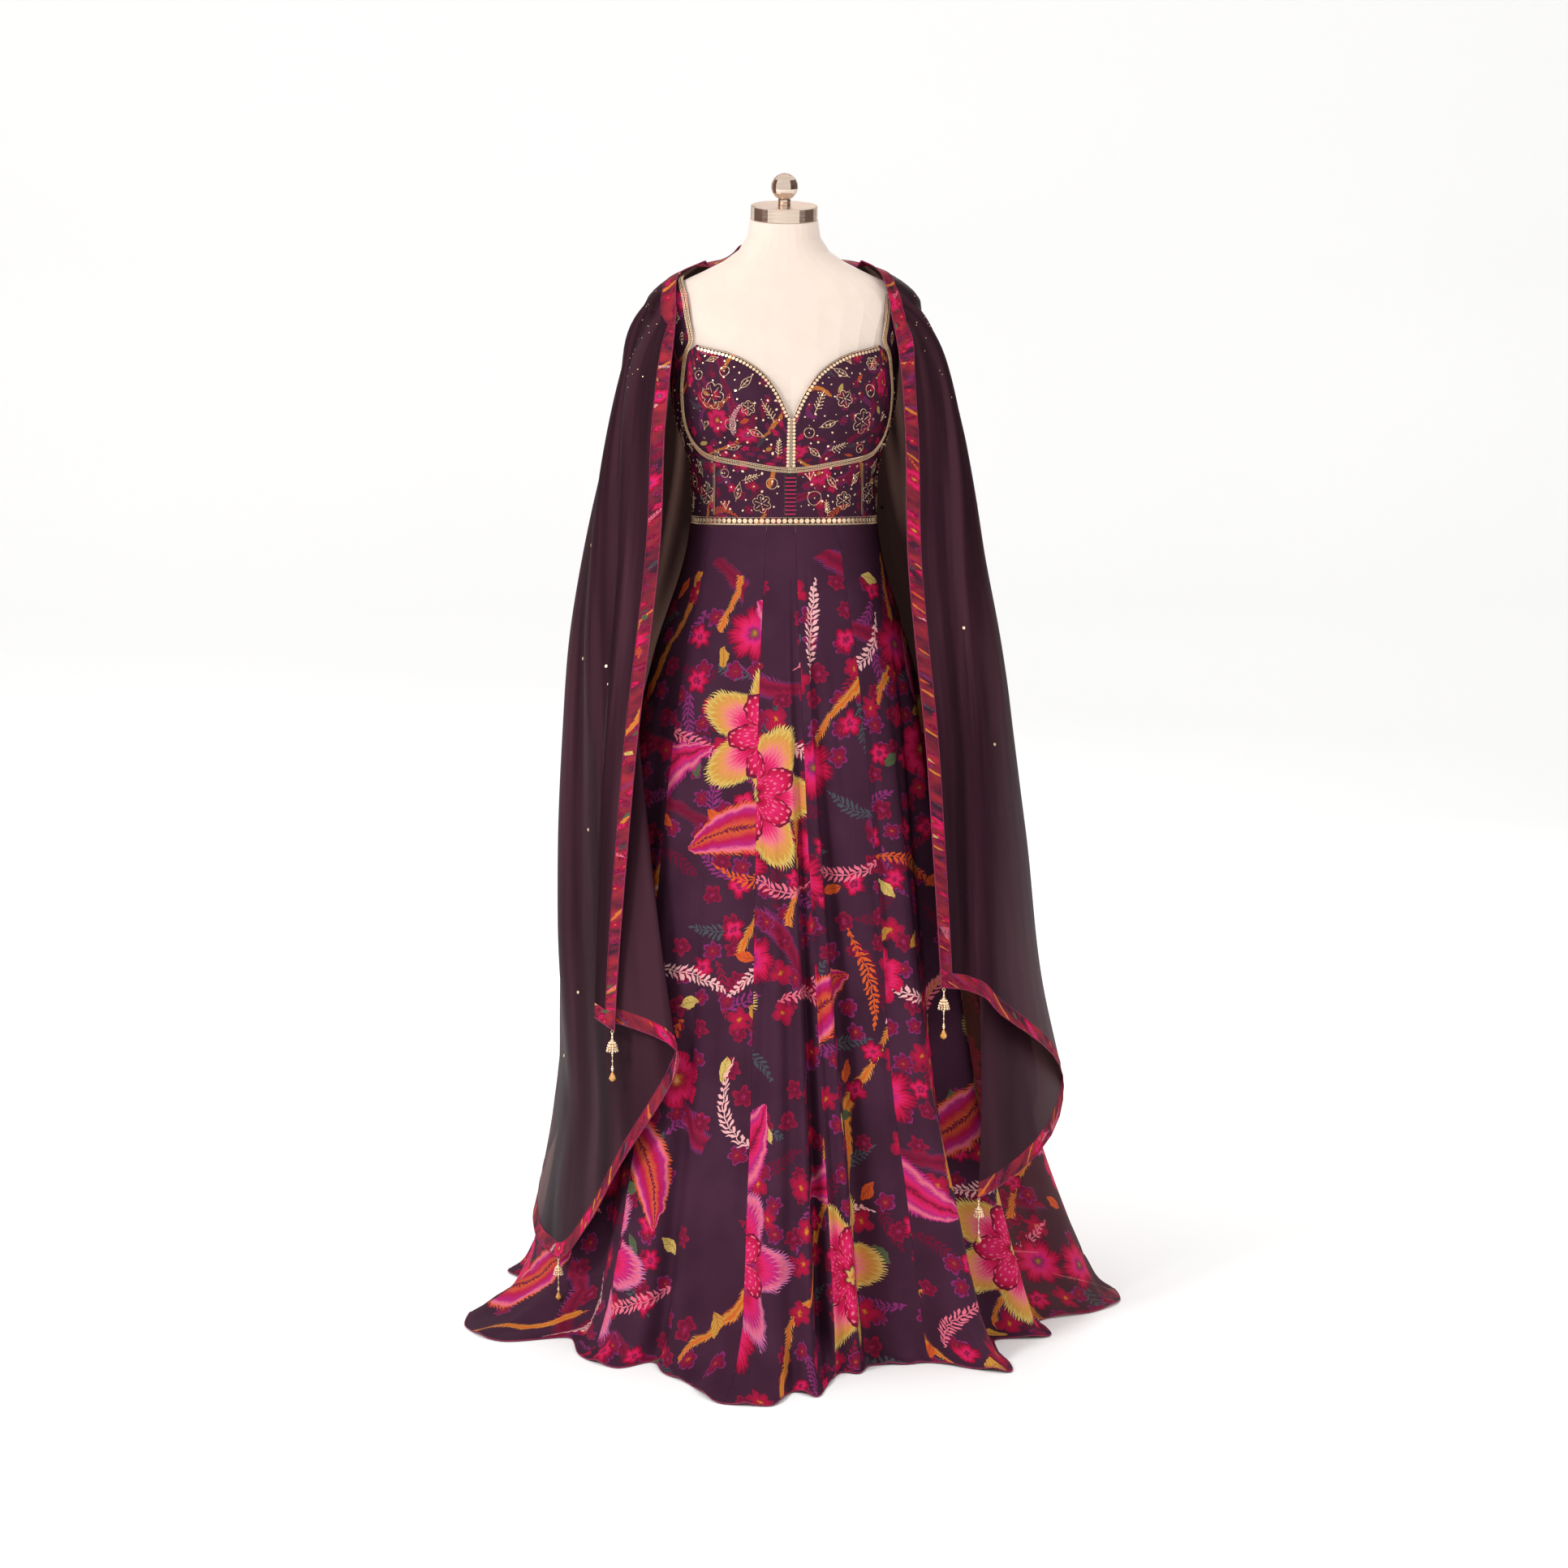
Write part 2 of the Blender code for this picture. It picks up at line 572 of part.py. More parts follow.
def skirt_grid(steps=SKIRT_STEPS):
    """Outer points of the skirt, from the waist seam to the hem, one column for each part of a fold."""
    places = np.arange(len(FOLDS["turn"]) * steps) / steps
    turn = around(FOLDS["turn"], places, 360.0)
    top = around(FOLDS["top"], places, 360.0)
    fall = around(FOLDS["fall"], places)
    hem = around(FOLDS["hem"], places)
    begins = around(FOLDS["begins"], places)
    depth = fall - section_radius(SKIRT, turn, 0.05)
    rows = []
    for z in SKIRT_LEVELS:
        way = ease((WAIST_Z - z) / (WAIST_Z - 0.30))
        here = top + (turn - top) * way
        shown = np.clip((begins - z) / (begins - 0.05), 0, 1) ** 1.15
        row = polar(here, section_radius(SKIRT, here, z) + depth * shown, z)
        rows.append(clear_of_form(row, EASE + CLOTH + 0.0005) if z > 0.90 else row)
    last = np.linalg.norm(rows[-1][:, :2], axis=-1)
    for share, height, swell in zip(SPREAD["share"], SPREAD["height"], SPREAD["swell"]):
        radius = last + (np.maximum(hem, last + 0.004) - last) * share
        rows.append(polar(turn, radius, height + swell * np.maximum(depth, 0)))
    return np.array(rows)


def make_skirt():
    outer = skirt_grid()
    inner = outer - grid_normals(outer, closed=True) * CLOTH
    inner[..., 2] = np.maximum(inner[..., 2], 0.0)
    inner[0, :, 2] = outer[0, :, 2]
    for name, (first, last) in PANEL_SEAMS.items():
        columns = np.arange(first * SKIRT_STEPS, last * SKIRT_STEPS + 1) % outer.shape[1]
        two_sided(name, part_edges(outer[:, columns], SEAM), part_edges(inner[:, columns], SEAM), gown_cloth())
    return outer


# The bodice.
def front_guess(x, z):
    """A point near the form's front, from its place across and its height."""
    half = smooth(FORM["z"], FORM["half"], z)
    front = smooth(FORM["z"], FORM["front"], z) + cup_swell(x, z)
    inside = np.clip(1 - (np.abs(x) / half) ** FORM_SQUARE, 0.02, 1)
    return np.stack([x, -front * inside ** (1 / FORM_SQUARE), z], axis=-1)


def knots_of(rows):
    return np.arange(len(next(iter(rows.values()))), dtype=float)


def curve_of(rows, names, at):
    return np.stack([smooth(knots_of(rows), rows[name], at) for name in names], axis=-1)


def ruled(low, top, count):
    """A grid of points between two curves, with count rows."""
    share = np.linspace(0, 1, count)[:, None, None]
    return low[None] * (1 - share) + top[None] * share


def ruled_round(low, top, count):
    """A grid of points between two curves, led round the pole."""
    def round_pole(points):
        turn = np.arctan2(points[:, 0], -points[:, 1])
        return np.stack([turn, np.linalg.norm(points[:, :2], axis=-1), points[:, 2]], axis=-1)

    turn, radius, z = np.moveaxis(ruled(round_pole(low), round_pole(top), count), -1, 0)
    return np.stack([radius * np.sin(turn), -radius * np.cos(turn), z], axis=-1)


def mirror(points, side):
    return points * np.array([side, 1.0, 1.0])


def sew_on(name, guess, side, surface):
    """A worn panel: the guessed grid laid on the form, and given its wall."""
    seated, out = onto_form(part_edges(guess, 2 * SEAM, rows=True), np.full(guess.shape[:2], EASE + CLOTH))
    return two_sided(name, mirror(seated, side), mirror(seated - out * CLOTH, side), surface)


def cup_low(at):
    flat = curve_of(CUP_EDGES, ("low_x", "low_z"), at)
    return front_guess(flat[..., 0], flat[..., 1])


def cup_guess(at, rows):
    low = curve_of(CUP_EDGES, ("low_x", "low_z"), at)
    top = curve_of(CUP_EDGES, ("top_x", "top_z"), at)
    flat = ruled(low, top, rows)
    return front_guess(flat[..., 0], flat[..., 1])


def edge_of(rows, count):
    return np.stack([smooth(rows["step"], rows[name], np.arange(count)) for name in "xyz"], axis=-1)


def princess_edge():
    """Front edge of a side panel: up the princess seam, round the cup and up the strap."""
    seam = front_guess(np.full(3, PRINCESS_X), np.linspace(WAIST_Z + SEAM, CUP_EDGES["low_z"][3], 4)[:3])
    return np.concatenate([seam, cup_low(np.arange(3, 8.1, 0.5)), edge_of(STRAP_EDGE, 6)])


def midriff_guess():
    at = np.arange(0, 3.1, 0.5)
    at[0] = np.interp(PLACKET_HALF + SEAM, (CUP_EDGES["low_x"][0], curve_of(CUP_EDGES, ("low_x",), 0.5)[0]), (0, 0.5))
    top = curve_of(CUP_EDGES, ("low_x", "low_z"), at)
    low = np.stack([top[:, 0], np.full(len(at), WAIST_Z + SEAM)], axis=-1)
    flat = ruled(low, top, 4)
    return front_guess(flat[..., 0], flat[..., 1])


def make_bodice():
    """The bodice's panels, and those of them that the trims lie on."""
    panels = []
    for side, word in ((-1, "left"), (1, "right")):
        panels.append(sew_on(f"cup_{word}", cup_guess(np.arange(0, 8.1, 0.5), 6), side, bodice_cloth()))
        panels.append(sew_on(f"midriff_{word}", midriff_guess(), side, bodice_cloth()))
        front = ruled_round(princess_edge(), edge_of(FRONT_ARMHOLE, 20), 4).transpose(1, 0, 2)
        panels.append(sew_on(f"side_front_{word}", front, side, bodice_cloth()))
        back = ruled_round(edge_of(BACK_NECK, 17), edge_of(BACK_ARMHOLE, 17), 8).transpose(1, 0, 2)
        sew_on(f"back_{word}", back, side, bodice_cloth())
    make_placket()
    return panels


def make_placket():
    """The button stand down the midriff, with its row of fabric loops raised across it."""
    top = CUP_EDGES["low_z"][0] - 2 * SEAM
    levels = np.append(np.linspace(WAIST_Z + 0.012, top - 0.008, PLACKET_LOOPS * 2 + 1), top)
    levels = np.insert(levels, 0, WAIST_Z + 2 * SEAM)
    half = PLACKET_HALF - SEAM
    flat = np.array([[(x, z) for x in (-half, 0.0, half)] for z in levels])
    loops = np.zeros(len(levels))
    loops[2:-2:2] = 0.0014
    seated, out = onto_form(front_guess(flat[..., 0], flat[..., 1]), np.full(flat.shape[:2], EASE + CLOTH))
    raised = np.outer(loops, (0.6, 1.0, 0.6))[..., None]
    two_sided("placket", seated + out * raised, seated - out * CLOTH, bodice_cloth())


# The gold trims.
def seat_on(points, out, cloths):
    """The points moved along their directions to just over the outer side of the cloths."""
    trees = []
    for cloth in cloths:
        corners = [vertex.co for vertex in cloth.data.vertices]
        trees.append(BVHTree.FromPolygons(corners, [face.vertices for face in cloth.data.polygons]))
    seated = points.copy()
    for place in np.ndindex(points.shape[:-1]):
        way = Vector(out[place])
        start = Vector(points[place]) + way * 0.03
        hits = [tree.ray_cast(start, -way, 0.06) for tree in trees]
        distance = min((hit[3] for hit in hits if hit[0] is not None), default=0.03)
        seated[place] = start - way * (distance - TRIM_SEAT)
    return seated


def braid(name, path, cloths, width=TRIM_WIDTH, height=TRIM_HEIGHT):
    """A strip with a raised middle along a path on the worn bodice."""
    middle, out = onto_form(path, np.full(len(path), EASE + CLOTH))
    way = np.gradient(middle, axis=0)
    across = np.cross(way, out)
    across /= np.linalg.norm(across, axis=-1, keepdims=True)
    strip = np.stack([middle + across * share * width / 2 for share in (-1.0, -0.4, 0.4, 1.0)])
    strip, out = onto_form(strip, np.full(strip.shape[:2], EASE + CLOTH))
    low = seat_on(strip, out, cloths)
    crown = np.array([0.5, 1.0, 1.0, 0.5])[:, None, None]
    two_sided(name, low + out * height * crown, low, gold_beads())


def neckline_path():
    """Just under the cup's upper edge, from the centre line to the strap."""
    at = np.arange(0.5, 7.6, 0.5)
    top = curve_of(CUP_EDGES, ("top_x", "top_z"), at)
    low = curve_of(CUP_EDGES, ("low_x", "low_z"), at)
    flat = top + (low - top) / np.linalg.norm(low - top, axis=-1, keepdims=True) * 0.0050
    return front_guess(flat[:, 0], flat[:, 1])


def make_trims(panels):
    half = len(panels) // 2
    for side, word, cloths in ((-1, "left", panels[:half]), (1, "right", panels[half:])):
        braid(f"trim_neckline_{word}", mirror(neckline_path(), side), cloths)
        levels = np.linspace(1.2368, 1.2985, 5)
        centre = front_guess(np.full(5, 0.0049), levels)
        braid(f"trim_centre_{word}", mirror(centre, side), cloths, width=0.0070)
        under = cup_low(np.arange(0, 8.1, 0.5))
        under[0, 0] = 0.0005
        strap = edge_of(STRAP_EDGE, 6)
        strap[-1] += (0, -0.003, -0.001)
        strap[:, 0] += (0.001, 0.004, 0.0045, 0.0045, 0.0045, 0.0045)
        braid(f"trim_princess_{word}", mirror(np.concatenate([under, strap]), side), cloths)


def make_waist_trim():
    """The beaded band round the waist, over the lower edge of the bodice."""
    turns = np.arange(48) * 2 * math.pi / 48
    across, ahead = np.sin(turns), np.cos(turns)
    power = 2 / FORM_SQUARE
    rings = []
    for z in (WAIST_Z + 0.0008, WAIST_Z + 0.0065, WAIST_Z + 0.0122):
        half, front, back = (smooth(FORM["z"], FORM[part], z) for part in ("half", "front", "back"))
        x = half * np.sign(across) * np.abs(across) ** power
        y = -np.where(ahead > 0, front, back) * np.sign(ahead) * np.abs(ahead) ** power
        rings.append(np.stack([x, y, z + 0 * x], axis=-1))
    low, out = onto_form(np.array(rings), np.full((3, 48), EASE + CLOTH + WAIST_TRIM_SEAT))
    crown = np.array([0.0008, 0.0024, 0.0008])[:, None, None]
    two_sided("trim_waist", low + out * crown, low, gold_beads(), closed=True)


# The dupatta.
def stretched(radii):
    """Each radius of a ring of them, raised to where cloth drawn round the ring would lie."""
    count = len(radii)
    turns = np.arange(count) * 2 * math.pi / count
    reach = radii.copy()
    for before in range(2, 44, 3):
        for after in range(2, 44, 3):
            one, two = np.roll(radii, before), np.roll(radii, -after)
            a, b = turns[before], turns[after]
            reach = np.maximum(reach, one * two * math.sin(a + b) / (one * math.sin(a) + two * math.sin(b)))
    return reach


def skirt_reach(skirt):
    """A function of turn and height: how far out cloth drawn round the skirt would lie there."""
    turns = np.degrees(np.arctan2(skirt[..., 0], -skirt[..., 1]))
    radii = np.linalg.norm(skirt[..., :2], axis=-1)
    heights = skirt[..., 2]
    dense = np.arange(-180, 180, 1.0)
    by_row = []
    for row in range(len(SKIRT_LEVELS)):
        order = np.argsort(turns[row])
        t, r = turns[row][order], radii[row][order]
        t = np.concatenate([t - 360, t, t + 360])
        by_row.append(stretched(np.interp(dense, t, np.concatenate([r, r, r]))))
    by_row = np.array(by_row)
    levels = np.array(SKIRT_LEVELS)

    def reach(turn, z):
        turn = (turn + 180) % 360
        low = np.floor(turn).astype(int) % 360
        share = turn - np.floor(turn)
        column = by_row[:, low] * (1 - share) + by_row[:, (low + 1) % 360] * share
        place = np.interp(-z, -levels, np.arange(len(levels)))
        row = np.clip(np.floor(place).astype(int), 0, len(levels) - 2)
        part = place - row
        pick = np.arange(len(turn))
        return column[row, pick] * (1 - part) + column[row + 1, pick] * part

    return reach


def hanging(column, reach, z):
    """Points of the dupatta at the height z of each column, where it hangs free."""
    share = (CAPE_HIGH_Z - z) / (CAPE_HIGH_Z - column["end"])
    turn = column["high"] + (column["low"] - column["high"]) * np.clip(share, -0.25, 1)
    out = column["out"] + (column["flare"] - column["out"]) * np.clip(share, 0, 1)
    radius = section_radius(CAPE, turn, z) + out
    least = reach(turn, z) + CAPE_ON_SKIRT + np.maximum(out + 0.012, 0) * 0.6
    return polar(turn, np.where(z < WAIST_Z, np.maximum(radius, least), radius), z)


def cape_grid(reach, places):
    """Outer points of the dupatta: rows from its neck edge to its hem, columns round the body."""
    knots = knots_of(DRAPE)
    column = {name: smooth(knots, values, places) for name, values in DRAPE.items()}
    neck = np.stack([column["x"], column["y"], column["z"]], axis=-1)
    shoulder = hanging(column, reach, np.full(len(places), CAPE_TOP_Z))
    way = shoulder[:, :2] / np.linalg.norm(shoulder[:, :2], axis=-1, keepdims=True)
    rise = np.concatenate([0.7 * way, np.full((len(places), 1), 0.75)], axis=-1)
    round_out = CAPE_BULGE * np.abs(np.sin(np.radians(column["high"]))) ** 5
    middle = (neck + shoulder) / 2 + rise * round_out[:, None]
    first = BORDER / (2 * np.linalg.norm(middle - neck, axis=-1))
    rows = [neck]
    for share in (0.0, *SHOULDER_SHARES):
        t = (first + (1 - first) * share)[:, None]
        rows.append(neck * (1 - t) ** 2 + middle * 2 * t * (1 - t) + shoulder * t * t)
    drop = CAPE_TOP_Z - column["end"]
    for share in (*FALL_SHARES, 1 - BORDER / drop, np.ones(len(places))):
        rows.append(hanging(column, reach, CAPE_TOP_Z - drop * share))
    grid = np.array(rows)
    # The columns next to the two front edges stand a border's width in from them.
    for edge, beside, third in ((0, 1, 2), (-1, -2, -3)):
        step = grid[:, third] - grid[:, edge]
        width = np.linalg.norm(step, axis=-1, keepdims=True)
        grid[:, beside] = grid[:, edge] + step * np.minimum(BORDER / width, 0.7)
    cleared = np.where(grid[..., 2:] > WAIST_Z, clear_of_form(grid, CAPE_ON_FORM), grid)
    rests = grid[0, :, 2:] > NECK_REST_Z
    cleared[0] = np.where(rests, clear_of_form(grid[0], NECK_ON_FORM), cleared[0])
    return cleared


def make_dupatta(skirt):
    reach = skirt_reach(skirt)
    last = (len(DRAPE["x"]) - 1) * DRAPE_STEPS
    outer = cape_grid(reach, np.arange(last + 1) / DRAPE_STEPS)
    inner = outer - grid_normals(outer) * CHIFFON
    final = len(outer) - 1
    left_back, right_back = LEFT_BACK_FOLD * DRAPE_STEPS, RIGHT_BACK_FOLD * DRAPE_STEPS
    left_end, right_end = LEFT_CORNER_FOLD * DRAPE_STEPS, RIGHT_CORNER_FOLD * DRAPE_STEPS
    stretches = {
        "dupatta_left": (1, final - 1, 1, left_back, dupatta_chiffon()),
        "dupatta_back": (1, final - 1, left_back, right_back, dupatta_chiffon()),
        "dupatta_right": (1, final - 1, right_back, last - 1, dupatta_chiffon()),
        "border_front_left": (0, final - 1, 0, 1, border_cloth()),
        "border_front_right": (0, final - 1, last - 1, last, border_cloth()),
        "border_neck": (0, 1, 1, last - 1, border_cloth()),
        "border_end_left": (final - 1, final, 0, left_end, border_cloth()),
        "border_back": (final - 1, final, left_end, right_end, border_cloth()),
        "border_end_right": (final - 1, final, right_end, last, border_cloth()),
    }
    for name, (top, bottom, first, end, surface) in stretches.items():
        pick = np.ix_(range(top, bottom + 1), range(first, end + 1))
        two_sided(
            name,
            part_edges(outer[pick], SEAM, rows=True),
            part_edges(inner[pick], SEAM, rows=True),
            surface,
        )
    middle = (outer[final] + inner[final]) / 2
    corners = {
        "latkan_front_left": (0, 1, 1.0, 0.0009),
        "latkan_side_left": (left_end, left_end - 1, 0.86, 0.0017),
        "latkan_side_right": (right_end, right_end + 1, 0.90, 0.0017),
        "latkan_front_right": (last, last - 1, 1.0, 0.0008),
    }
    for name, (corner, inside, scale, below) in corners.items():
        way = middle[inside] - middle[corner]
        place = middle[corner] + way / np.linalg.norm(way) * 0.005
        make_latkan(name, place - (0, 0, below), scale)


def make_latkan(name, top, scale):
    """A bead tassel that hangs just under a corner of the dupatta."""
    profile = [
        (radius * scale / 1000, -drop * scale / 1000) for drop, radius in zip(LATKAN["drop"], LATKAN["radius"])
    ]
    made = turned(name, profile, LATKAN_SIDES, gold_beads())
    made.location = Vector(top)


def main():
    for old in list(bpy.data.objects):
        bpy.data.objects.remove(old, do_unlink=True)
    make_form()
    make_form_hardware()
    skirt = make_skirt()
    make_trims(make_bodice())
    make_waist_trim()
    make_dupatta(skirt)


main()
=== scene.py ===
import math

import bpy
import numpy as np
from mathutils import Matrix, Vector


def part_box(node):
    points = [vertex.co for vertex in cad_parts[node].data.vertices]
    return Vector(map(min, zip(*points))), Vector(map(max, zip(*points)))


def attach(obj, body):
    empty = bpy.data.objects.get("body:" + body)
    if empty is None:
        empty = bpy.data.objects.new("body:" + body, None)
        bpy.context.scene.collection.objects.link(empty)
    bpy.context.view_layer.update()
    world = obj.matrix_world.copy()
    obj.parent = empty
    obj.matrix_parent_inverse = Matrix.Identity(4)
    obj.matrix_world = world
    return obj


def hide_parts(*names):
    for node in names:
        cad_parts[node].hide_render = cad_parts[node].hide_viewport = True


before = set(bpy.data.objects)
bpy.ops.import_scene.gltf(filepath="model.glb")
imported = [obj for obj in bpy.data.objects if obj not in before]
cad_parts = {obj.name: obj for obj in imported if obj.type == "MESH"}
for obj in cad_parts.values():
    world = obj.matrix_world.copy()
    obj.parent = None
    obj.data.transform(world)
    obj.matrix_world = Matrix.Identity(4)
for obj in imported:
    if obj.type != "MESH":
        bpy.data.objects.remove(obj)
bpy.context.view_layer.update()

# The same dimensions and tables as the part's own.

WAIST_Z = 1.150  # seam between the midriff and the skirt
EASE = 0.0035  # between the form and the cloth worn on it
CLOTH = 0.0014  # wall of the gown's cloth
SEAM = 0.0003  # between pieces that are sewn together
BORDER = 0.020  # width of the dupatta's printed border


def table(names, *rows):
    """Named columns of a table, each as an array."""
    return dict(zip(names.split(), np.array(rows, float).T))


# Horizontal sections of the dress form, general sizes for a small woman's form.
FORM = table(
    "z      half    front   back",
    (0.780, 0.146, 0.096, 0.108),
    (0.860, 0.164, 0.104, 0.124),
    (0.920, 0.170, 0.106, 0.130),
    (0.980, 0.165, 0.105, 0.122),
    (1.040, 0.150, 0.102, 0.104),
    (1.100, 0.134, 0.098, 0.088),
    (1.155, 0.1295, 0.098, 0.081),
    (1.200, 0.1300, 0.101, 0.082),
    (1.245, 0.136, 0.107, 0.086),
    (1.290, 0.150, 0.114, 0.091),
    (1.330, 0.159, 0.116, 0.096),
    (1.370, 0.162, 0.110, 0.100),
    (1.410, 0.167, 0.097, 0.101),
    (1.440, 0.178, 0.082, 0.096),
    (1.465, 0.188, 0.066, 0.082),
    (1.485, 0.173, 0.058, 0.070),
    (1.500, 0.150, 0.054, 0.064),
    (1.515, 0.117, 0.052, 0.060),
    (1.530, 0.087, 0.050, 0.056),
    (1.545, 0.066, 0.049, 0.053),
    (1.565, 0.0530, 0.0485, 0.0510),
    (1.620, 0.0480, 0.0465, 0.0480),
)
FORM_SQUARE = 2.25  # exponent of the sections' outline
CUP_X, CUP_Z, CUP_SPREAD, CUP_DEPTH = 0.074, 1.318, 0.048, 0.020

# The skirt's sections with its folds left out.
SKIRT = table(
    "z      left   right  front  back",
    (0.000, 0.390, 0.460, 0.442, 0.412),
    (0.050, 0.372, 0.452, 0.435, 0.405),
    (0.120, 0.350, 0.424, 0.412, 0.385),
    (0.244, 0.326, 0.380, 0.372, 0.350),
    (0.300, 0.318, 0.366, 0.350, 0.330),
    (0.480, 0.300, 0.320, 0.290, 0.280),
    (0.650, 0.266, 0.271, 0.238, 0.235),
    (0.800, 0.232, 0.230, 0.195, 0.195),
    (0.920, 0.202, 0.198, 0.165, 0.168),
    (0.980, 0.186, 0.181, 0.150, 0.152),
    (1.030, 0.169, 0.166, 0.137, 0.134),
    (1.070, 0.155, 0.153, 0.127, 0.117),
    (1.110, 0.144, 0.143, 0.119, 0.103),
    (1.170, 0.1345, 0.1345, 0.1030, 0.0860),
)

# One row for each ridge or hollow of the skirt. turn is where it meets the floor, top where it
# leaves the waist, fall its distance from the pole at the floor, hem that of its edge, which lies
# on the floor, and begins the height at which it starts to show.
FOLDS = table(
    "turn  top   fall   hem    begins",
    (-178, -178, 0.420, 0.475, 0.95),
    (-167, -168, 0.365, 0.395, 0.98),
    (-156, -158, 0.425, 0.480, 0.92),
    (-145, -148, 0.370, 0.402, 0.97),
    (-133, -136, 0.418, 0.460, 0.90),
    (-123, -126, 0.372, 0.398, 0.95),
    (-112, -116, 0.400, 0.443, 0.88),
    (-102, -106, 0.356, 0.395, 0.95),
    (-86, -94, 0.390, 0.446, 0.90),
    (-71, -82, 0.386, 0.500, 0.80),
    (-61, -74, 0.368, 0.486, 0.85),
    (-55, -68, 0.356, 0.398, 0.98),
    (-44, -60, 0.398, 0.450, 0.92),
    (-35, -48, 0.404, 0.468, 0.62),
    (-31, -40, 0.378, 0.420, 0.70),
    (-26, -32, 0.414, 0.462, 0.80),
    (-20, -25, 0.404, 0.500, 0.34),
    (-13, -18, 0.410, 0.580, 0.36),
    (-7, -11, 0.458, 0.585, 0.80),
    (-3.5, -7, 0.446, 0.520, 0.55),
    (-0.5, -3, 0.462, 0.545, 1.02),
    (1.6, 0, 0.402, 0.500, 1.09),
    (4.2, 3.5, 0.436, 0.448, 0.98),
    (6.0, 5.5, 0.424, 0.436, 0.80),
    (8.2, 7.5, 0.438, 0.446, 0.86),
    (12.5, 10.5, 0.362, 0.412, 1.10),
    (18.5, 24, 0.386, 0.424, 0.62),
    (23.5, 36, 0.404, 0.434, 0.60),
    (27, 45, 0.448, 0.480, 0.85),
    (31, 51, 0.460, 0.528, 0.95),
    (37, 57, 0.405, 0.450, 0.90),
    (44, 63, 0.358, 0.402, 0.99),
    (52, 70, 0.410, 0.452, 0.88),
    (61, 77, 0.374, 0.406, 0.97),
    (71, 84, 0.438, 0.470, 0.92),
    (80, 91, 0.452, 0.502, 0.70),
    (89, 98, 0.446, 0.480, 0.70),
    (100, 106, 0.400, 0.428, 0.96),
    (111, 115, 0.440, 0.486, 0.90),
    (123, 126, 0.384, 0.414, 0.96),
    (135, 138, 0.428, 0.472, 0.90),
    (147, 149, 0.370, 0.400, 0.97),
    (158, 160, 0.424, 0.482, 0.92),
    (170, 170, 0.366, 0.396, 0.98),
)
SKIRT_LEVELS = (1.1495, 1.110, 1.060, 1.000, 0.910, 0.800, 0.670, 0.530, 0.390, 0.260, 0.150, 0.060)
# Fold rows that carry the seams between the skirt's eight panels.
PANEL_SEAMS = {
    "skirt_back_left": (0, 5),
    "skirt_side_left": (5, 12),
    "skirt_front_left": (12, 17),
    "skirt_centre_left": (17, 22),
    "skirt_centre_right": (22, 27),
    "skirt_front_right": (27, 33),
    "skirt_side_right": (33, 39),
    "skirt_back_right": (39, 44),
}

# Sections of the space that the dupatta hangs round, without its folds.
CAPE = table(
    "z      left   right  front  back",
    (0.060, 0.368, 0.432, 0.455, 0.420),
    (0.200, 0.350, 0.412, 0.405, 0.372),
    (0.340, 0.329, 0.390, 0.358, 0.342),
    (0.480, 0.330, 0.362, 0.315, 0.306),
    (0.700, 0.325, 0.343, 0.250, 0.252),
    (0.845, 0.315, 0.326, 0.215, 0.215),
    (0.990, 0.303, 0.308, 0.178, 0.180),
    (1.100, 0.287, 0.287, 0.158, 0.152),
    (1.200, 0.270, 0.268, 0.150, 0.138),
    (1.310, 0.247, 0.241, 0.148, 0.130),
    (1.380, 0.230, 0.224, 0.134, 0.126),
    (1.470, 0.205, 0.203, 0.090, 0.110),
)
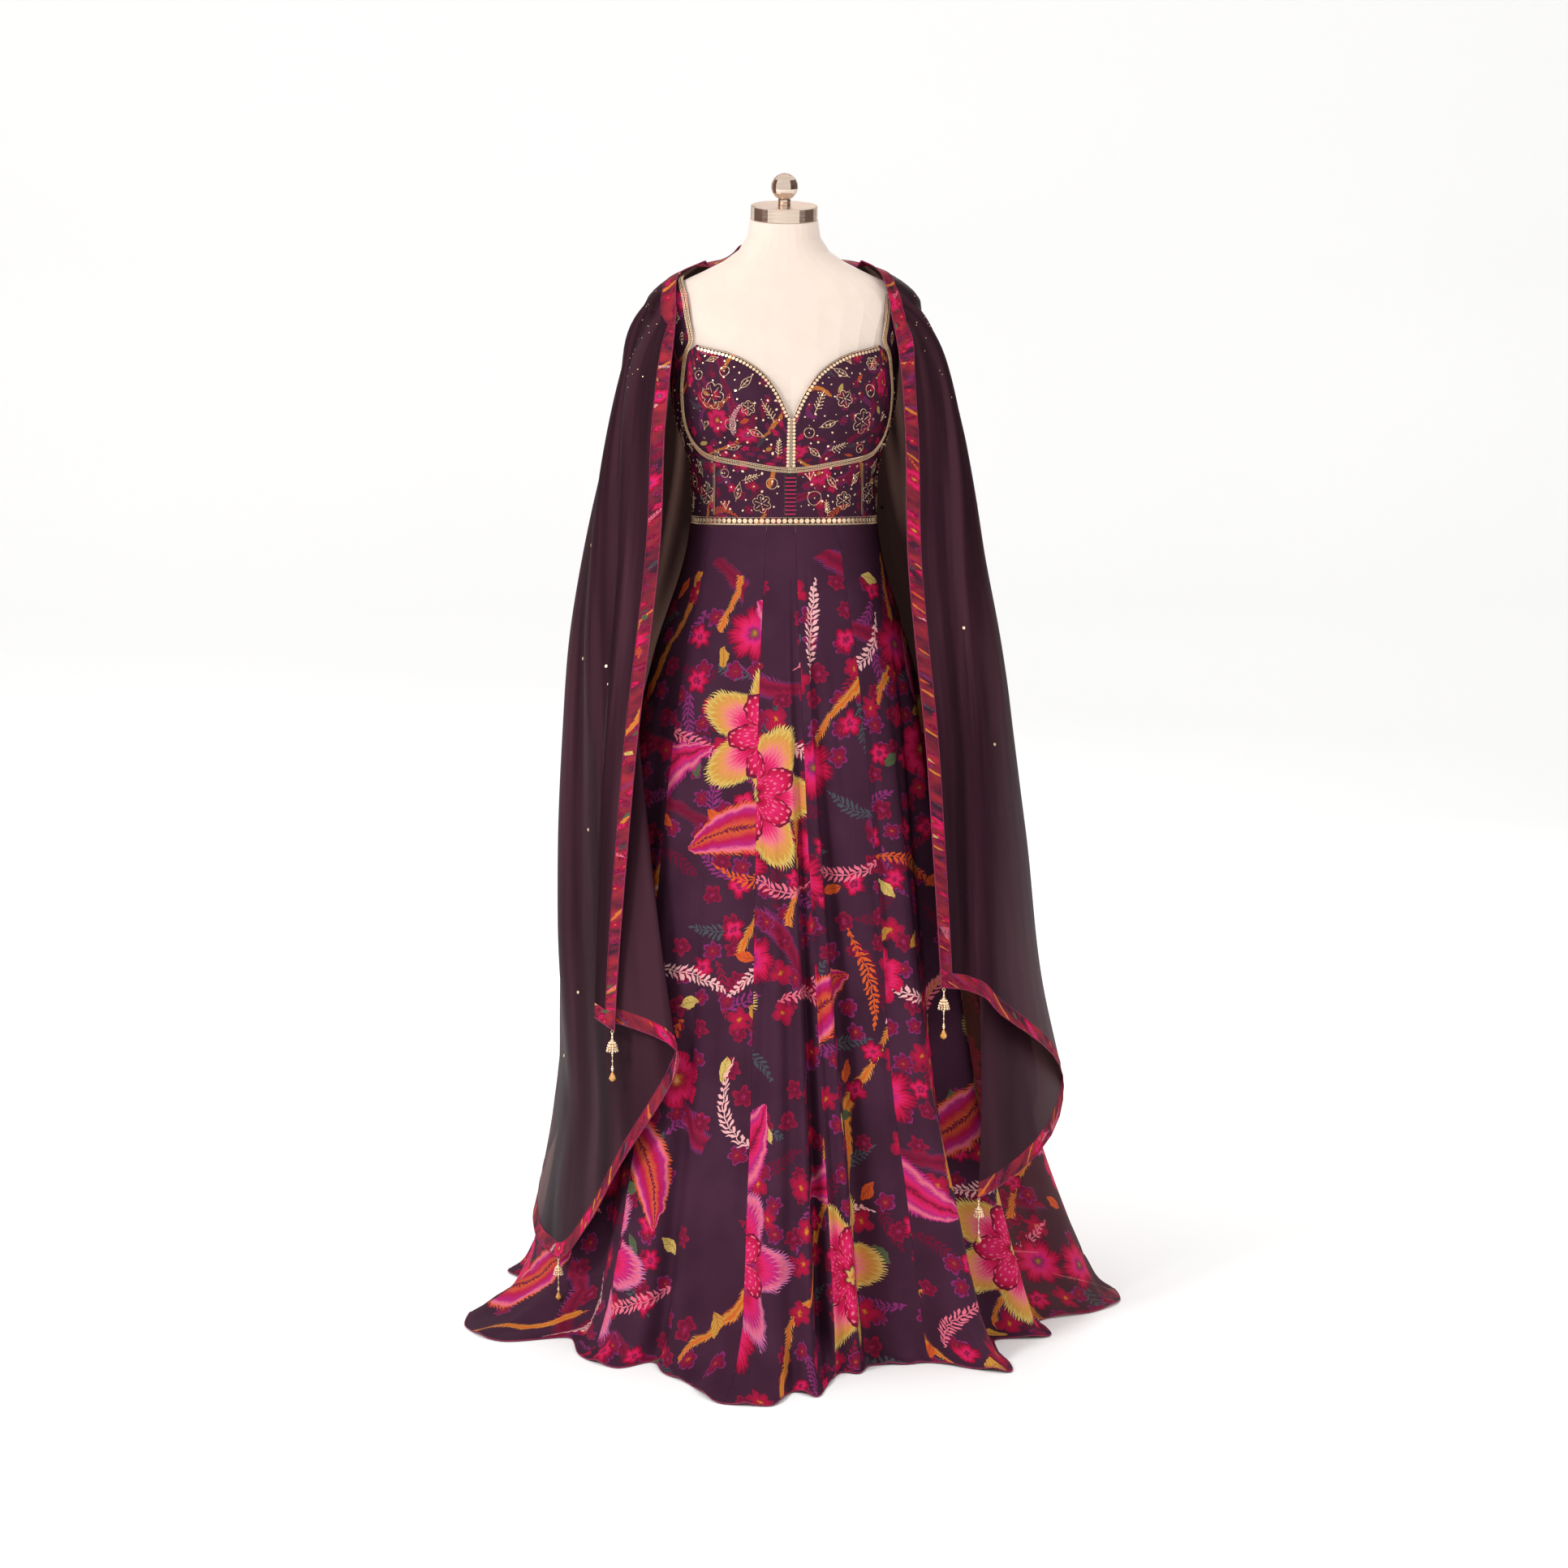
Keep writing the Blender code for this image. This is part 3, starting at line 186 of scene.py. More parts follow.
# One row for each fold of the dupatta, from its left front edge round the back to the right one.
# x, y and z place it on the neck edge. high is its turn at CAPE_HIGH_Z and low at its end, out and
# flare its distance from the section there, and end the height of the hem.
DRAPE = table(
    "x       y       z      high  low   out     flare   end",
    (-0.148, -0.070, 1.446, -58, -44.6, 0.004, 0.046, 0.450),
    (-0.156, -0.038, 1.474, -69, -51, 0.012, 0.046, 0.465),
    (-0.152, -0.022, 1.486, -76, -30.5, -0.008, 0.004, 0.413),
    (-0.144, -0.010, 1.496, -83, -43, 0.002, 0.012, 0.262),
    (-0.133, -0.001, 1.506, -89, -51, -0.004, 0.010, 0.170),
    (-0.120, 0.006, 1.511, -95, -62, 0.004, 0.014, 0.108),
    (-0.104, 0.012, 1.520, -102, -80, -0.004, -0.004, 0.120),
    (-0.088, 0.020, 1.529, -110, -97, 0.006, 0.004, 0.180),
    (-0.073, 0.030, 1.541, -119, -112, -0.004, -0.010, 0.270),
    (-0.060, 0.042, 1.554, -129, -127, 0.005, 0.016, 0.370),
    (-0.046, 0.053, 1.556, -140, -142, -0.004, -0.010, 0.470),
    (-0.030, 0.061, 1.556, -153, -157, 0.005, 0.016, 0.550),
    (-0.012, 0.065, 1.554, -168, -172, -0.004, -0.010, 0.600),
    (0.008, 0.065, 1.554, -183, -186, 0.005, 0.016, 0.610),
    (0.028, 0.062, 1.556, -198, -200, -0.004, -0.010, 0.580),
    (0.044, 0.054, 1.558, -213, -214, 0.005, 0.016, 0.540),
    (0.058, 0.042, 1.557, -226, -228, -0.004, -0.010, 0.480),
    (0.072, 0.028, 1.541, -238, -242, 0.005, 0.014, 0.420),
    (0.087, 0.016, 1.530, -248, -256, -0.004, -0.008, 0.370),
    (0.101, 0.006, 1.522, -256, -272, 0.002, -0.014, 0.340),
    (0.114, -0.005, 1.512, -264, -298, -0.004, -0.016, 0.280),
    (0.124, -0.016, 1.503, -271, -322, -0.010, -0.006, 0.212),
    (0.132, -0.026, 1.490, -279, -282, 0.010, 0.024, 0.322),
    (0.138, -0.036, 1.476, -286, -313, 0.022, 0.040, 0.472),
    (0.144, -0.047, 1.461, -292, -315, 0.006, 0.014, 0.495),
    (0.152, -0.080, 1.413, -303, -324, -0.010, 0.016, 0.507),
)
CAPE_HIGH_Z = 1.20
CAPE_TOP_Z = 1.38  # from here up the dupatta is led over the shoulder to its neck edge
CAPE_ON_FORM = 0.013  # clear of the bodice and its trims
NECK_ON_FORM = 0.0021  # where the neck edge lies on the form
NECK_REST_Z = 1.519  # the neck edge lies on the form above this height
CAPE_ON_SKIRT = 0.007
CAPE_BULGE = 0.060  # how far it is rounded out over the point of the shoulder
LEFT_BACK_FOLD, RIGHT_BACK_FOLD = 8, 18  # fold rows where the falls meet the back stretch
LEFT_CORNER_FOLD, RIGHT_CORNER_FOLD = 5, 21  # fold rows at the lower corners

# The cups: their lower edge from the middle of the front out and up to the strap, and the neckline
# over it. x is across and z is up, and the cloth lies on the form there.
CUP_EDGES = table(
    "low_x   low_z   top_x   top_z",
    (0.0040, 1.2300, 0.0040, 1.3040),
    (0.0300, 1.2330, 0.0110, 1.3210),
    (0.0630, 1.2395, 0.0230, 1.3440),
    (0.1040, 1.2475, 0.0400, 1.3665),
    (0.1230, 1.2585, 0.0630, 1.3840),
    (0.1380, 1.2820, 0.0860, 1.3950),
    (0.1455, 1.3120, 0.1020, 1.3995),
    (0.1475, 1.3500, 0.1180, 1.4040),
    (0.1430, 1.3950, 0.1290, 1.4075),
)
# Edges of the side and back panels. step is the place along the panel, and x, y, z guide the point.
PRINCESS_X = 0.1040
STRAP_EDGE = table(
    "step x       y       z",
    (0, 0.1395, -0.0680, 1.4150),
    (1, 0.1380, -0.0600, 1.4370),
    (2, 0.1385, -0.0490, 1.4560),
    (3, 0.1390, -0.0360, 1.4730),
    (4, 0.1400, -0.0190, 1.4890),
    (5, 0.1410, -0.0006, 1.5015),
)
FRONT_ARMHOLE = table(
    "step x       y       z",
    (0, 0.1295, -0.0004, 1.150),
    (3, 0.1358, -0.0004, 1.245),
    (7, 0.1500, -0.0004, 1.297),
    (11, 0.1600, -0.0004, 1.348),
    (13, 0.1650, -0.0280, 1.392),
    (15, 0.1700, -0.0330, 1.430),
    (17, 0.1740, -0.0210, 1.460),
    (19, 0.1740, -0.0006, 1.483),
)
BACK_NECK = table(
    "step x       y       z",
    (0, 0.0002, 0.0810, 1.150),
    (3, 0.0002, 0.0860, 1.245),
    (6, 0.0002, 0.0960, 1.345),
    (8, 0.0450, 0.0990, 1.372),
    (10, 0.0900, 0.0900, 1.405),
    (12, 0.1200, 0.0700, 1.438),
    (14, 0.1370, 0.0380, 1.472),
    (16, 0.1410, 0.0006, 1.5015),
)
BACK_ARMHOLE = table(
    "step x       y       z",
    (0, 0.1295, 0.0004, 1.150),
    (3, 0.1358, 0.0004, 1.245),
    (6, 0.1600, 0.0004, 1.348),
    (8, 0.1640, 0.0250, 1.385),
    (10, 0.1680, 0.0340, 1.412),
    (12, 0.1715, 0.0350, 1.437),
    (14, 0.1740, 0.0210, 1.463),
    (16, 0.1740, 0.0006, 1.483),
)
PLACKET_HALF = 0.0085


def smooth(knots, values, at):
    """Values between the knots, on a curve that passes through each of them."""
    at = np.clip(np.asarray(at, float), knots[0], knots[-1])
    rises = np.diff(values) / np.diff(knots)
    before, after = np.append(rises[0], rises), np.append(rises, rises[-1])
    steepest = 3 * np.minimum(np.abs(before), np.abs(after))
    slopes = np.where(before * after > 0, np.clip(np.gradient(values, knots), -steepest, steepest), 0.0)
    low = np.clip(np.searchsorted(knots, at, side="right") - 1, 0, len(knots) - 2)
    span = knots[low + 1] - knots[low]
    t = (at - knots[low]) / span
    return (
        values[low] * (1 + 2 * t) * (1 - t) ** 2
        + values[low + 1] * t * t * (3 - 2 * t)
        + span * t * (1 - t) * (slopes[low] * (1 - t) - slopes[low + 1] * t)
    )


def ease(t):
    t = np.clip(t, 0.0, 1.0)
    return t * t * (3 - 2 * t)


def section_radius(sections, turn, z):
    """Distance from the pole of a section's outline, in the direction of a turn."""
    across, ahead = np.sin(np.radians(turn)), np.cos(np.radians(turn))
    side = np.where(across < 0, smooth(sections["z"], sections["left"], z), smooth(sections["z"], sections["right"], z))
    depth = np.where(ahead < 0, smooth(sections["z"], sections["back"], z), smooth(sections["z"], sections["front"], z))
    return 1 / np.sqrt((across / side) ** 2 + (ahead / depth) ** 2)


def polar(turn, radius, z):
    turn = np.radians(turn)
    return np.stack([radius * np.sin(turn), -radius * np.cos(turn), z + 0 * radius], axis=-1)


def cup_swell(x, z):
    """How far the bust stands out of the form's sections."""
    return CUP_DEPTH * np.exp(-(((np.abs(x) - CUP_X) / CUP_SPREAD) ** 2) - ((z - CUP_Z) / CUP_SPREAD) ** 2)


def form_level(points):
    """Zero on the form's surface, and negative inside it."""
    x, y, z = points[..., 0], points[..., 1], points[..., 2]
    half = smooth(FORM["z"], FORM["half"], z)
    front = smooth(FORM["z"], FORM["front"], z) + cup_swell(x, z)
    depth = np.where(y < 0, front, smooth(FORM["z"], FORM["back"], z))
    return (np.abs(x) / half) ** FORM_SQUARE + (np.abs(y) / depth) ** FORM_SQUARE - 1


def form_slope(points):
    step = 0.0004
    rises = []
    for axis in range(3):
        shift = np.zeros(3)
        shift[axis] = step
        rises.append((form_level(points + shift) - form_level(points - shift)) / (2 * step))
    return np.stack(rises, axis=-1)


def onto_form(points, gap):
    """The points moved onto the form, then out by gap. Also the directions out of it."""
    points = np.array(points, float)
    for _ in range(24):
        slope = form_slope(points)
        steepness = (slope**2).sum(-1)
        points = points - 0.8 * slope * (form_level(points) / steepness)[..., None]
    out = form_slope(points)
    out = out / np.linalg.norm(out, axis=-1, keepdims=True)
    return points + out * np.asarray(gap)[..., None], out


def clear_of_form(points, gap):
    """The points, with those that are nearer to the form than gap moved out to it."""
    seated, out = onto_form(points, np.full(points.shape[:-1], gap))
    short = ((points - seated) * out).sum(-1) < 0
    return np.where(short[..., None], seated, points)


def unit(vectors):
    return vectors / (np.linalg.norm(vectors, axis=-1, keepdims=True) + 1e-12)


def grid_normals(grid, closed=False):
    """Directions out of a grid that stands round the pole, for moving it by a wall's thickness.

    They are longer than one where the grid is creased, to keep the wall from thinning there."""
    steps = np.diff(grid, axis=1)
    if closed:
        join = grid[:, :1] - grid[:, -1:]
        steps = np.concatenate([join, steps, join], axis=1)
    else:
        steps = np.concatenate([steps[:, :1], steps, steps[:, -1:]], axis=1)
    down = np.gradient(grid, axis=0)
    before, after = (unit(np.cross(side, down)) for side in (steps[:, :-1], steps[:, 1:]))
    out = unit(before + after)
    crease = np.maximum((before * out).sum(-1, keepdims=True), 0.4)
    middle = np.array([0.0, 0.0, 1.0]) * grid[..., 2:3]
    return (-out if ((grid - middle) * out).sum() < 0 else out) / crease


def part_edges(grid, gap, rows=False, columns=True):
    """Draws a panel's side or end rows back by half a seam gap, along its own surface."""
    grid = grid.copy()
    if columns:
        for edge, inside in ((0, 1), (-1, -2)):
            way = grid[:, inside] - grid[:, edge]
            grid[:, edge] += way / np.linalg.norm(way, axis=-1, keepdims=True) * gap / 2
    if rows:
        for edge, inside in ((0, 1), (-1, -2)):
            way = grid[inside] - grid[edge]
            grid[edge] += way / np.linalg.norm(way, axis=-1, keepdims=True) * gap / 2
    return grid


def around(values, places, step=0.0):
    """A closed table column between its rows, by place in the table. step is what one whole round adds."""
    count = len(values)
    knots = np.arange(-3, count + 4)
    padded = np.array([values[k % count] + step * (k // count) for k in knots])
    return smooth(knots.astype(float), padded, places)


def front_guess(x, z):
    """A point near the form's front, from its place across and its height."""
    half = smooth(FORM["z"], FORM["half"], z)
    front = smooth(FORM["z"], FORM["front"], z) + cup_swell(x, z)
    inside = np.clip(1 - (np.abs(x) / half) ** FORM_SQUARE, 0.02, 1)
    return np.stack([x, -front * inside ** (1 / FORM_SQUARE), z], axis=-1)


def knots_of(rows):
    return np.arange(len(next(iter(rows.values()))), dtype=float)


def curve_of(rows, names, at):
    return np.stack([smooth(knots_of(rows), rows[name], at) for name in names], axis=-1)


def ruled(low, top, count):
    """A grid of points between two curves, with count rows."""
    share = np.linspace(0, 1, count)[:, None, None]
    return low[None] * (1 - share) + top[None] * share


def ruled_round(low, top, count):
    """A grid of points between two curves, led round the pole."""
    def round_pole(points):
        turn = np.arctan2(points[:, 0], -points[:, 1])
        return np.stack([turn, np.linalg.norm(points[:, :2], axis=-1), points[:, 2]], axis=-1)

    turn, radius, z = np.moveaxis(ruled(round_pole(low), round_pole(top), count), -1, 0)
    return np.stack([radius * np.sin(turn), -radius * np.cos(turn), z], axis=-1)


def mirror(points, side):
    return points * np.array([side, 1.0, 1.0])


def cup_low(at):
    flat = curve_of(CUP_EDGES, ("low_x", "low_z"), at)
    return front_guess(flat[..., 0], flat[..., 1])


def cup_guess(at, rows):
    low = curve_of(CUP_EDGES, ("low_x", "low_z"), at)
    top = curve_of(CUP_EDGES, ("top_x", "top_z"), at)
    flat = ruled(low, top, rows)
    return front_guess(flat[..., 0], flat[..., 1])


def edge_of(rows, count):
    return np.stack([smooth(rows["step"], rows[name], np.arange(count)) for name in "xyz"], axis=-1)


def neckline_path():
    """Just under the cup's upper edge, from the centre line to the strap."""
    at = np.arange(0.5, 7.6, 0.5)
    top = curve_of(CUP_EDGES, ("top_x", "top_z"), at)
    low = curve_of(CUP_EDGES, ("low_x", "low_z"), at)
    flat = top + (low - top) / np.linalg.norm(low - top, axis=-1, keepdims=True) * 0.0050
    return front_guess(flat[:, 0], flat[:, 1])


def stretched(radii):
    """Each radius of a ring of them, raised to where cloth drawn round the ring would lie."""
    count = len(radii)
    turns = np.arange(count) * 2 * math.pi / count
    reach = radii.copy()
    for before in range(2, 44, 3):
        for after in range(2, 44, 3):
            one, two = np.roll(radii, before), np.roll(radii, -after)
            a, b = turns[before], turns[after]
            reach = np.maximum(reach, one * two * math.sin(a + b) / (one * math.sin(a) + two * math.sin(b)))
    return reach


def skirt_reach(skirt):
    """A function of turn and height: how far out cloth drawn round the skirt would lie there."""
    turns = np.degrees(np.arctan2(skirt[..., 0], -skirt[..., 1]))
    radii = np.linalg.norm(skirt[..., :2], axis=-1)
    heights = skirt[..., 2]
    dense = np.arange(-180, 180, 1.0)
    by_row = []
    for row in range(len(SKIRT_LEVELS)):
        order = np.argsort(turns[row])
        t, r = turns[row][order], radii[row][order]
        t = np.concatenate([t - 360, t, t + 360])
        by_row.append(stretched(np.interp(dense, t, np.concatenate([r, r, r]))))
    by_row = np.array(by_row)
    levels = np.array(SKIRT_LEVELS)

    def reach(turn, z):
        turn = (turn + 180) % 360
        low = np.floor(turn).astype(int) % 360
        share = turn - np.floor(turn)
        column = by_row[:, low] * (1 - share) + by_row[:, (low + 1) % 360] * share
        place = np.interp(-z, -levels, np.arange(len(levels)))
        row = np.clip(np.floor(place).astype(int), 0, len(levels) - 2)
        part = place - row
        pick = np.arange(len(turn))
        return column[row, pick] * (1 - part) + column[row + 1, pick] * part

    return reach


def hanging(column, reach, z):
    """Points of the dupatta at the height z of each column, where it hangs free."""
    share = (CAPE_HIGH_Z - z) / (CAPE_HIGH_Z - column["end"])
    turn = column["high"] + (column["low"] - column["high"]) * np.clip(share, -0.25, 1)
    out = column["out"] + (column["flare"] - column["out"]) * np.clip(share, 0, 1)
    radius = section_radius(CAPE, turn, z) + out
    least = reach(turn, z) + CAPE_ON_SKIRT + np.maximum(out + 0.012, 0) * 0.6
    return polar(turn, np.where(z < WAIST_Z, np.maximum(radius, least), radius), z)


def unit_step(low, high, at):
    return ease((at - low) / (high - low))


# Folds too fine for the solids. Each is a soft trough or ridge down the skirt.
CREASES = table(
    "top   turn  high  low   depth   width",
    (-172, -174, 0.98, 0.30, -0.004, 2.6),
    (-152, -150, 0.80, 0.12, 0.003, 2.2),
    (-141, -139, 0.95, 0.40, -0.003, 2.0),
    (-128, -128, 0.72, 0.10, 0.004, 2.4),
    (-110, -106, 0.90, 0.22, -0.003, 2.0),
    (-97, -92, 0.66, 0.08, 0.004, 2.6),
    (-90, -80, 0.92, 0.35, -0.003, 2.2),
    (-79, -66, 0.60, 0.08, 0.003, 1.8),
    (-64, -50, 0.84, 0.30, -0.003, 1.7),
    (-54, -41, 0.98, 0.52, 0.003, 2.2),
    (-44, -33, 0.55, 0.10, -0.003, 1.5),
    (-36, -29, 0.90, 0.34, 0.003, 1.6),
    (-28, -23, 1.02, 0.46, -0.0025, 1.5),
    (-21, -16, 0.80, 0.20, 0.003, 1.4),
    (-14, -10, 0.96, 0.40, -0.003, 1.4),
    (-9, -5.5, 0.62, 0.10, 0.003, 1.2),
    (-5, -2, 0.98, 0.56, 0.002, 1.0),
    (9, 10.3, 1.02, 0.30, -0.003, 1.0),
    (15, 15.6, 0.88, 0.14, 0.003, 1.3),
    (21, 17.2, 1.04, 0.50, -0.0025, 1.8),
    (29, 21.0, 0.78, 0.18, 0.003, 1.5),
    (40, 25.3, 0.96, 0.44, -0.003, 1.6),
    (48, 29.2, 0.70, 0.12, 0.003, 1.4),
    (54, 34.0, 0.92, 0.30, -0.003, 1.7),
    (60, 41.0, 0.66, 0.10, 0.003, 1.8),
    (73, 56.0, 0.96, 0.48, -0.003, 2.0),
    (81, 66.0, 0.60, 0.08, 0.004, 2.2),
    (88, 76.0, 0.90, 0.26, -0.004, 2.4),
    (102, 95.0, 0.74, 0.12, 0.003, 2.2),
    (118, 117.0, 0.96, 0.36, -0.003, 2.0),
    (131, 129.0, 0.68, 0.10, 0.004, 2.6),
    (144, 141.0, 0.90, 0.34, -0.003, 2.0),
    (154, 153.0, 0.58, 0.08, 0.003, 2.2),
    (165, 164.0, 0.98, 0.42, -0.003, 2.4),
)
# Rucks where the hem lies on the floor: turn, height, and width in degrees.
RUCKS = table(
    "turn  height  width",
    (-170, 0.010, 3.0),
    (-151, 0.007, 2.2),
    (-128, 0.011, 3.0),
    (-107, 0.006, 2.0),
    (-92, 0.009, 2.6),
    (-78, 0.013, 2.0),
    (-66, 0.010, 1.8),
    (-49, 0.008, 1.8),
    (-39, 0.012, 1.7),
    (-28.5, 0.009, 1.3),
    (-22.5, 0.007, 1.2),
    (-16.5, 0.013, 1.5),
    (-10.0, 0.010, 1.2),
    (-5.2, 0.008, 0.9),
    (-2.0, 0.012, 0.9),
    (2.6, 0.007, 0.8),
    (7.0, 0.010, 0.9),
    (10.6, 0.006, 1.1),
    (15.8, 0.009, 1.4),
    (21.2, 0.008, 1.2),
    (25.4, 0.012, 1.2),
    (29.2, 0.015, 1.1),
    (34.2, 0.009, 1.4),
    (41.0, 0.008, 1.6),
    (49.0, 0.011, 1.9),
    (57.0, 0.008, 1.8),
    (66.0, 0.012, 2.2),
    (75.5, 0.009, 2.0),
    (84.5, 0.013, 2.1),
    (95.0, 0.008, 2.4),
    (106, 0.010, 2.6),
    (118, 0.007, 2.4),
    (129, 0.012, 3.0),
    (141, 0.008, 2.4),
    (153, 0.011, 2.8),
    (164, 0.008, 2.4),
)
FINE_STEPS = 8
FINE_LEVELS = np.concatenate([[WAIST_Z - SEAM / 2], np.linspace(1.142, 0.060, 92)])
FINE_SHARES = np.linspace(0.05, 1.0, 16)


def turn_gap(turn, other):
    return (turn - other + 180) % 360 - 180


def skirt_folds(steps):
    """The fold table between its rows, on a closed round of columns."""
    places = np.arange(len(FOLDS["turn"]) * steps) / steps
    closed = {"turn": 360.0, "top": 360.0}
    return {name: around(values, places, closed.get(name, 0.0)) for name, values in FOLDS.items()}


def skirt_rows(folds, levels):
    """Points of the skirt at the levels, as the solids have them."""
    depth = folds["fall"] - section_radius(SKIRT, folds["turn"], 0.05)
    rows = []
    for z in levels:
        way = ease((WAIST_Z - z) / (WAIST_Z - 0.30))
        here = folds["top"] + (folds["turn"] - folds["top"]) * way
        shown = np.clip((folds["begins"] - z) / (folds["begins"] - 0.05), 0, 1) ** 1.15
        row = polar(here, section_radius(SKIRT, here, z) + depth * shown, z)
        rows.append(clear_of_form(row, EASE + CLOTH + 0.0005) if z > 0.90 else row)
    return rows, depth


def fine_skirt():
    """The skirt's cloth from the waist seam down and out over the floor to its hem."""
    folds = skirt_folds(FINE_STEPS)
    rows, depth = skirt_rows(folds, FINE_LEVELS)
    grid = np.array(rows)
    turns = np.degrees(np.arctan2(grid[..., 0], -grid[..., 1]))
    move = np.zeros(turns.shape)
    z = grid[..., 2]
    for top, turn, high, low, deep, width in zip(*CREASES.values()):
        line = top + (turn - top) * ease((WAIST_Z - z) / (WAIST_Z - 0.30))
        fades = unit_step(high, high - 0.22, z) * unit_step(low - 0.06, low + 0.10, z)
        move += deep * fades * np.exp(-((turn_gap(turns, line) / width) ** 2))
    grid[..., :2] *= (1 + move / np.linalg.norm(grid[..., :2], axis=-1))[..., None]
    last = np.linalg.norm(grid[-1][:, :2], axis=-1)
    hem = np.maximum(folds["hem"], last + 0.004)
    ruck = np.zeros(len(hem))
    for turn, height, width in zip(*RUCKS.values()):
        ruck += height * np.exp(-((turn_gap(folds["turn"], turn) / width) ** 2))
    reach = np.clip((hem - last) / 0.05, 0, 1)
    shares, heights = np.array([0.0, 0.4, 1.0]), np.empty((3, len(hem)))
    heights[0], heights[1], heights[2] = 0.060, 0.016 + 0.35 * np.maximum(depth, 0), CLOTH
    spread = []
    for share in FINE_SHARES:
        height = np.array([smooth(shares, heights[:, c], share) for c in range(len(hem))])
        lift = ruck * reach * math.sin(math.pi * share ** 0.8) + 0.35 * ruck * reach * share**3
        spread.append(polar(folds["turn"], last + (hem - last) * share, height + lift))
    return np.concatenate([grid, np.array(spread)])


def along(grid, axis):
    """Distance along each row (axis 1) or column (axis 0) of a grid of points."""
    steps = np.linalg.norm(np.diff(grid, axis=axis), axis=-1)
    start = np.zeros_like(np.take(steps, [0], axis=axis))
    return np.concatenate([start, np.cumsum(steps, axis=axis)], axis=axis)


def flat_map(grid):
    """The cloth's flat cut: metres across from the panel's middle, and metres down it."""
    across = along(grid, 1)
    down = along(grid, 0)
    middle = grid.shape[1] // 2
    return np.stack([across - across[:, middle : middle + 1], np.repeat(down[:, middle : middle + 1], grid.shape[1], 1)], axis=-1)


def cut_of(grid):
    """Width, length and area of a panel's flat cut."""
    across, down = along(grid, 1)[:, -1], along(grid, 0).mean(axis=1)
    area = float(np.sum((across[1:] + across[:-1]) / 2 * np.diff(down)))
    return round(float(across.max()), 3), round(float(down[-1]), 3), round(area, 4)


def mesh_object(name, points, faces, surface, maps=None, sharp=None):
    mesh = bpy.data.meshes.new(name)
    mesh.from_pydata(np.asarray(points, float).tolist(), [], np.asarray(faces).tolist() if isinstance(faces, np.ndarray) else faces)
    mesh.update()
    corners = np.empty(len(mesh.loops), np.int32)
    mesh.loops.foreach_get("vertex_index", corners)
    for title, places in (maps or {}).items():
        layer = mesh.uv_layers.new(name=title)
        layer.data.foreach_set("uv", np.asarray(places, np.float32)[corners].ravel())
    mesh.materials.append(surface)
    mesh.shade_smooth()
    if sharp:
        mesh.set_sharp_from_angle(angle=math.radians(sharp))
    made = bpy.data.objects.new(name, mesh)
    bpy.context.scene.collection.objects.link(made)
    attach(made, "root")
    return made


def grid_faces(rows, columns, closed=False):
    """Quads of a grid of points, facing out of a grid whose columns run anticlockwise."""
    r, c = np.meshgrid(np.arange(rows - 1), np.arange(columns - (0 if closed else 1)), indexing="ij")
    n = (c + 1) % columns
    return np.stack([r * columns + c, (r + 1) * columns + c, (r + 1) * columns + n, r * columns + n], axis=-1).reshape(-1, 4)


def faces_out(grid):
    """Whether the faces of grid_faces point away from the pole."""
    side = grid[:-1, 1:] - grid[:-1, :-1]
    down = grid[1:, :-1] - grid[:-1, :-1]
    out = np.cross(down, side)
    away = grid[:-1, :-1] * (1, 1, 0)
    return (out * away).sum() > 0


def shell(name, grid, surface, nodes, wall=0.0, shift=(0.0, 0.0), places=None, hang=None):
    """Cloth on a grid of points: one face thick, or with a wall inside the grid."""
    rows, columns = grid.shape[:2]
    faces = grid_faces(rows, columns)
    if not faces_out(grid):
        faces = faces[:, ::-1]
    flat = flat_map(grid) if places is None else places
    maps = {"cloth": (flat + shift).reshape(-1, 2)}
    if hang is not None:
        maps["hang"] = hang.reshape(-1, 2)
    points = grid.reshape(-1, 3)
    if wall:
        count = rows * columns
        inner = (grid - grid_normals(grid) * wall).reshape(-1, 3)
        rim = np.concatenate([
            np.arange(columns - 1), (np.arange(rows - 1) + 1) * columns - 1,
            count - 1 - np.arange(columns - 1), (rows - 1 - np.arange(rows - 1)) * columns,
        ])
        after = np.roll(rim, -1)
        edge = np.stack([rim, after, after + count, rim + count], axis=-1)
        if not faces_out(grid):
            edge = edge[:, ::-1]
        faces = np.concatenate([faces, faces[:, ::-1] + count, edge])
        points = np.concatenate([points, inner])
        maps = {title: np.concatenate([values, values]) for title, values in maps.items()}
    made = mesh_object(name, points, faces, surface, maps)
    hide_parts(*nodes)
    return made


# The bodice.
def princess_line(per_step):
    """Front edge of a side panel: up the princess seam, round the cup and up the strap."""
    seam = front_guess(np.full(3, PRINCESS_X), np.linspace(WAIST_Z + SEAM, CUP_EDGES["low_z"][3], 4)[:3])
    coarse = np.concatenate([seam, cup_low(np.arange(3, 8.1, 0.5)), edge_of(STRAP_EDGE, 6)])
    return refined(coarse, per_step)


def refined(points, per_step):
    """A row of points with more between them."""
    knots = np.arange(len(points), dtype=float)
    at = np.linspace(0, len(points) - 1, (len(points) - 1) * per_step + 1)
    return np.stack([smooth(knots, points[:, axis], at) for axis in range(3)], axis=-1)


def worn(name, guess, side, surface, node, shift=(0.0, 0.0)):
    """A panel worn on the form, with its wall."""
    seated, _ = onto_form(part_edges(guess, 2 * SEAM, rows=True), np.full(guess.shape[:2], EASE + CLOTH))
    grid = mirror(seated, side)
    made = shell(name, grid, surface, [node], wall=CLOTH, shift=shift)
    width, length, area = cut_of(grid)
    return made, width, length, area


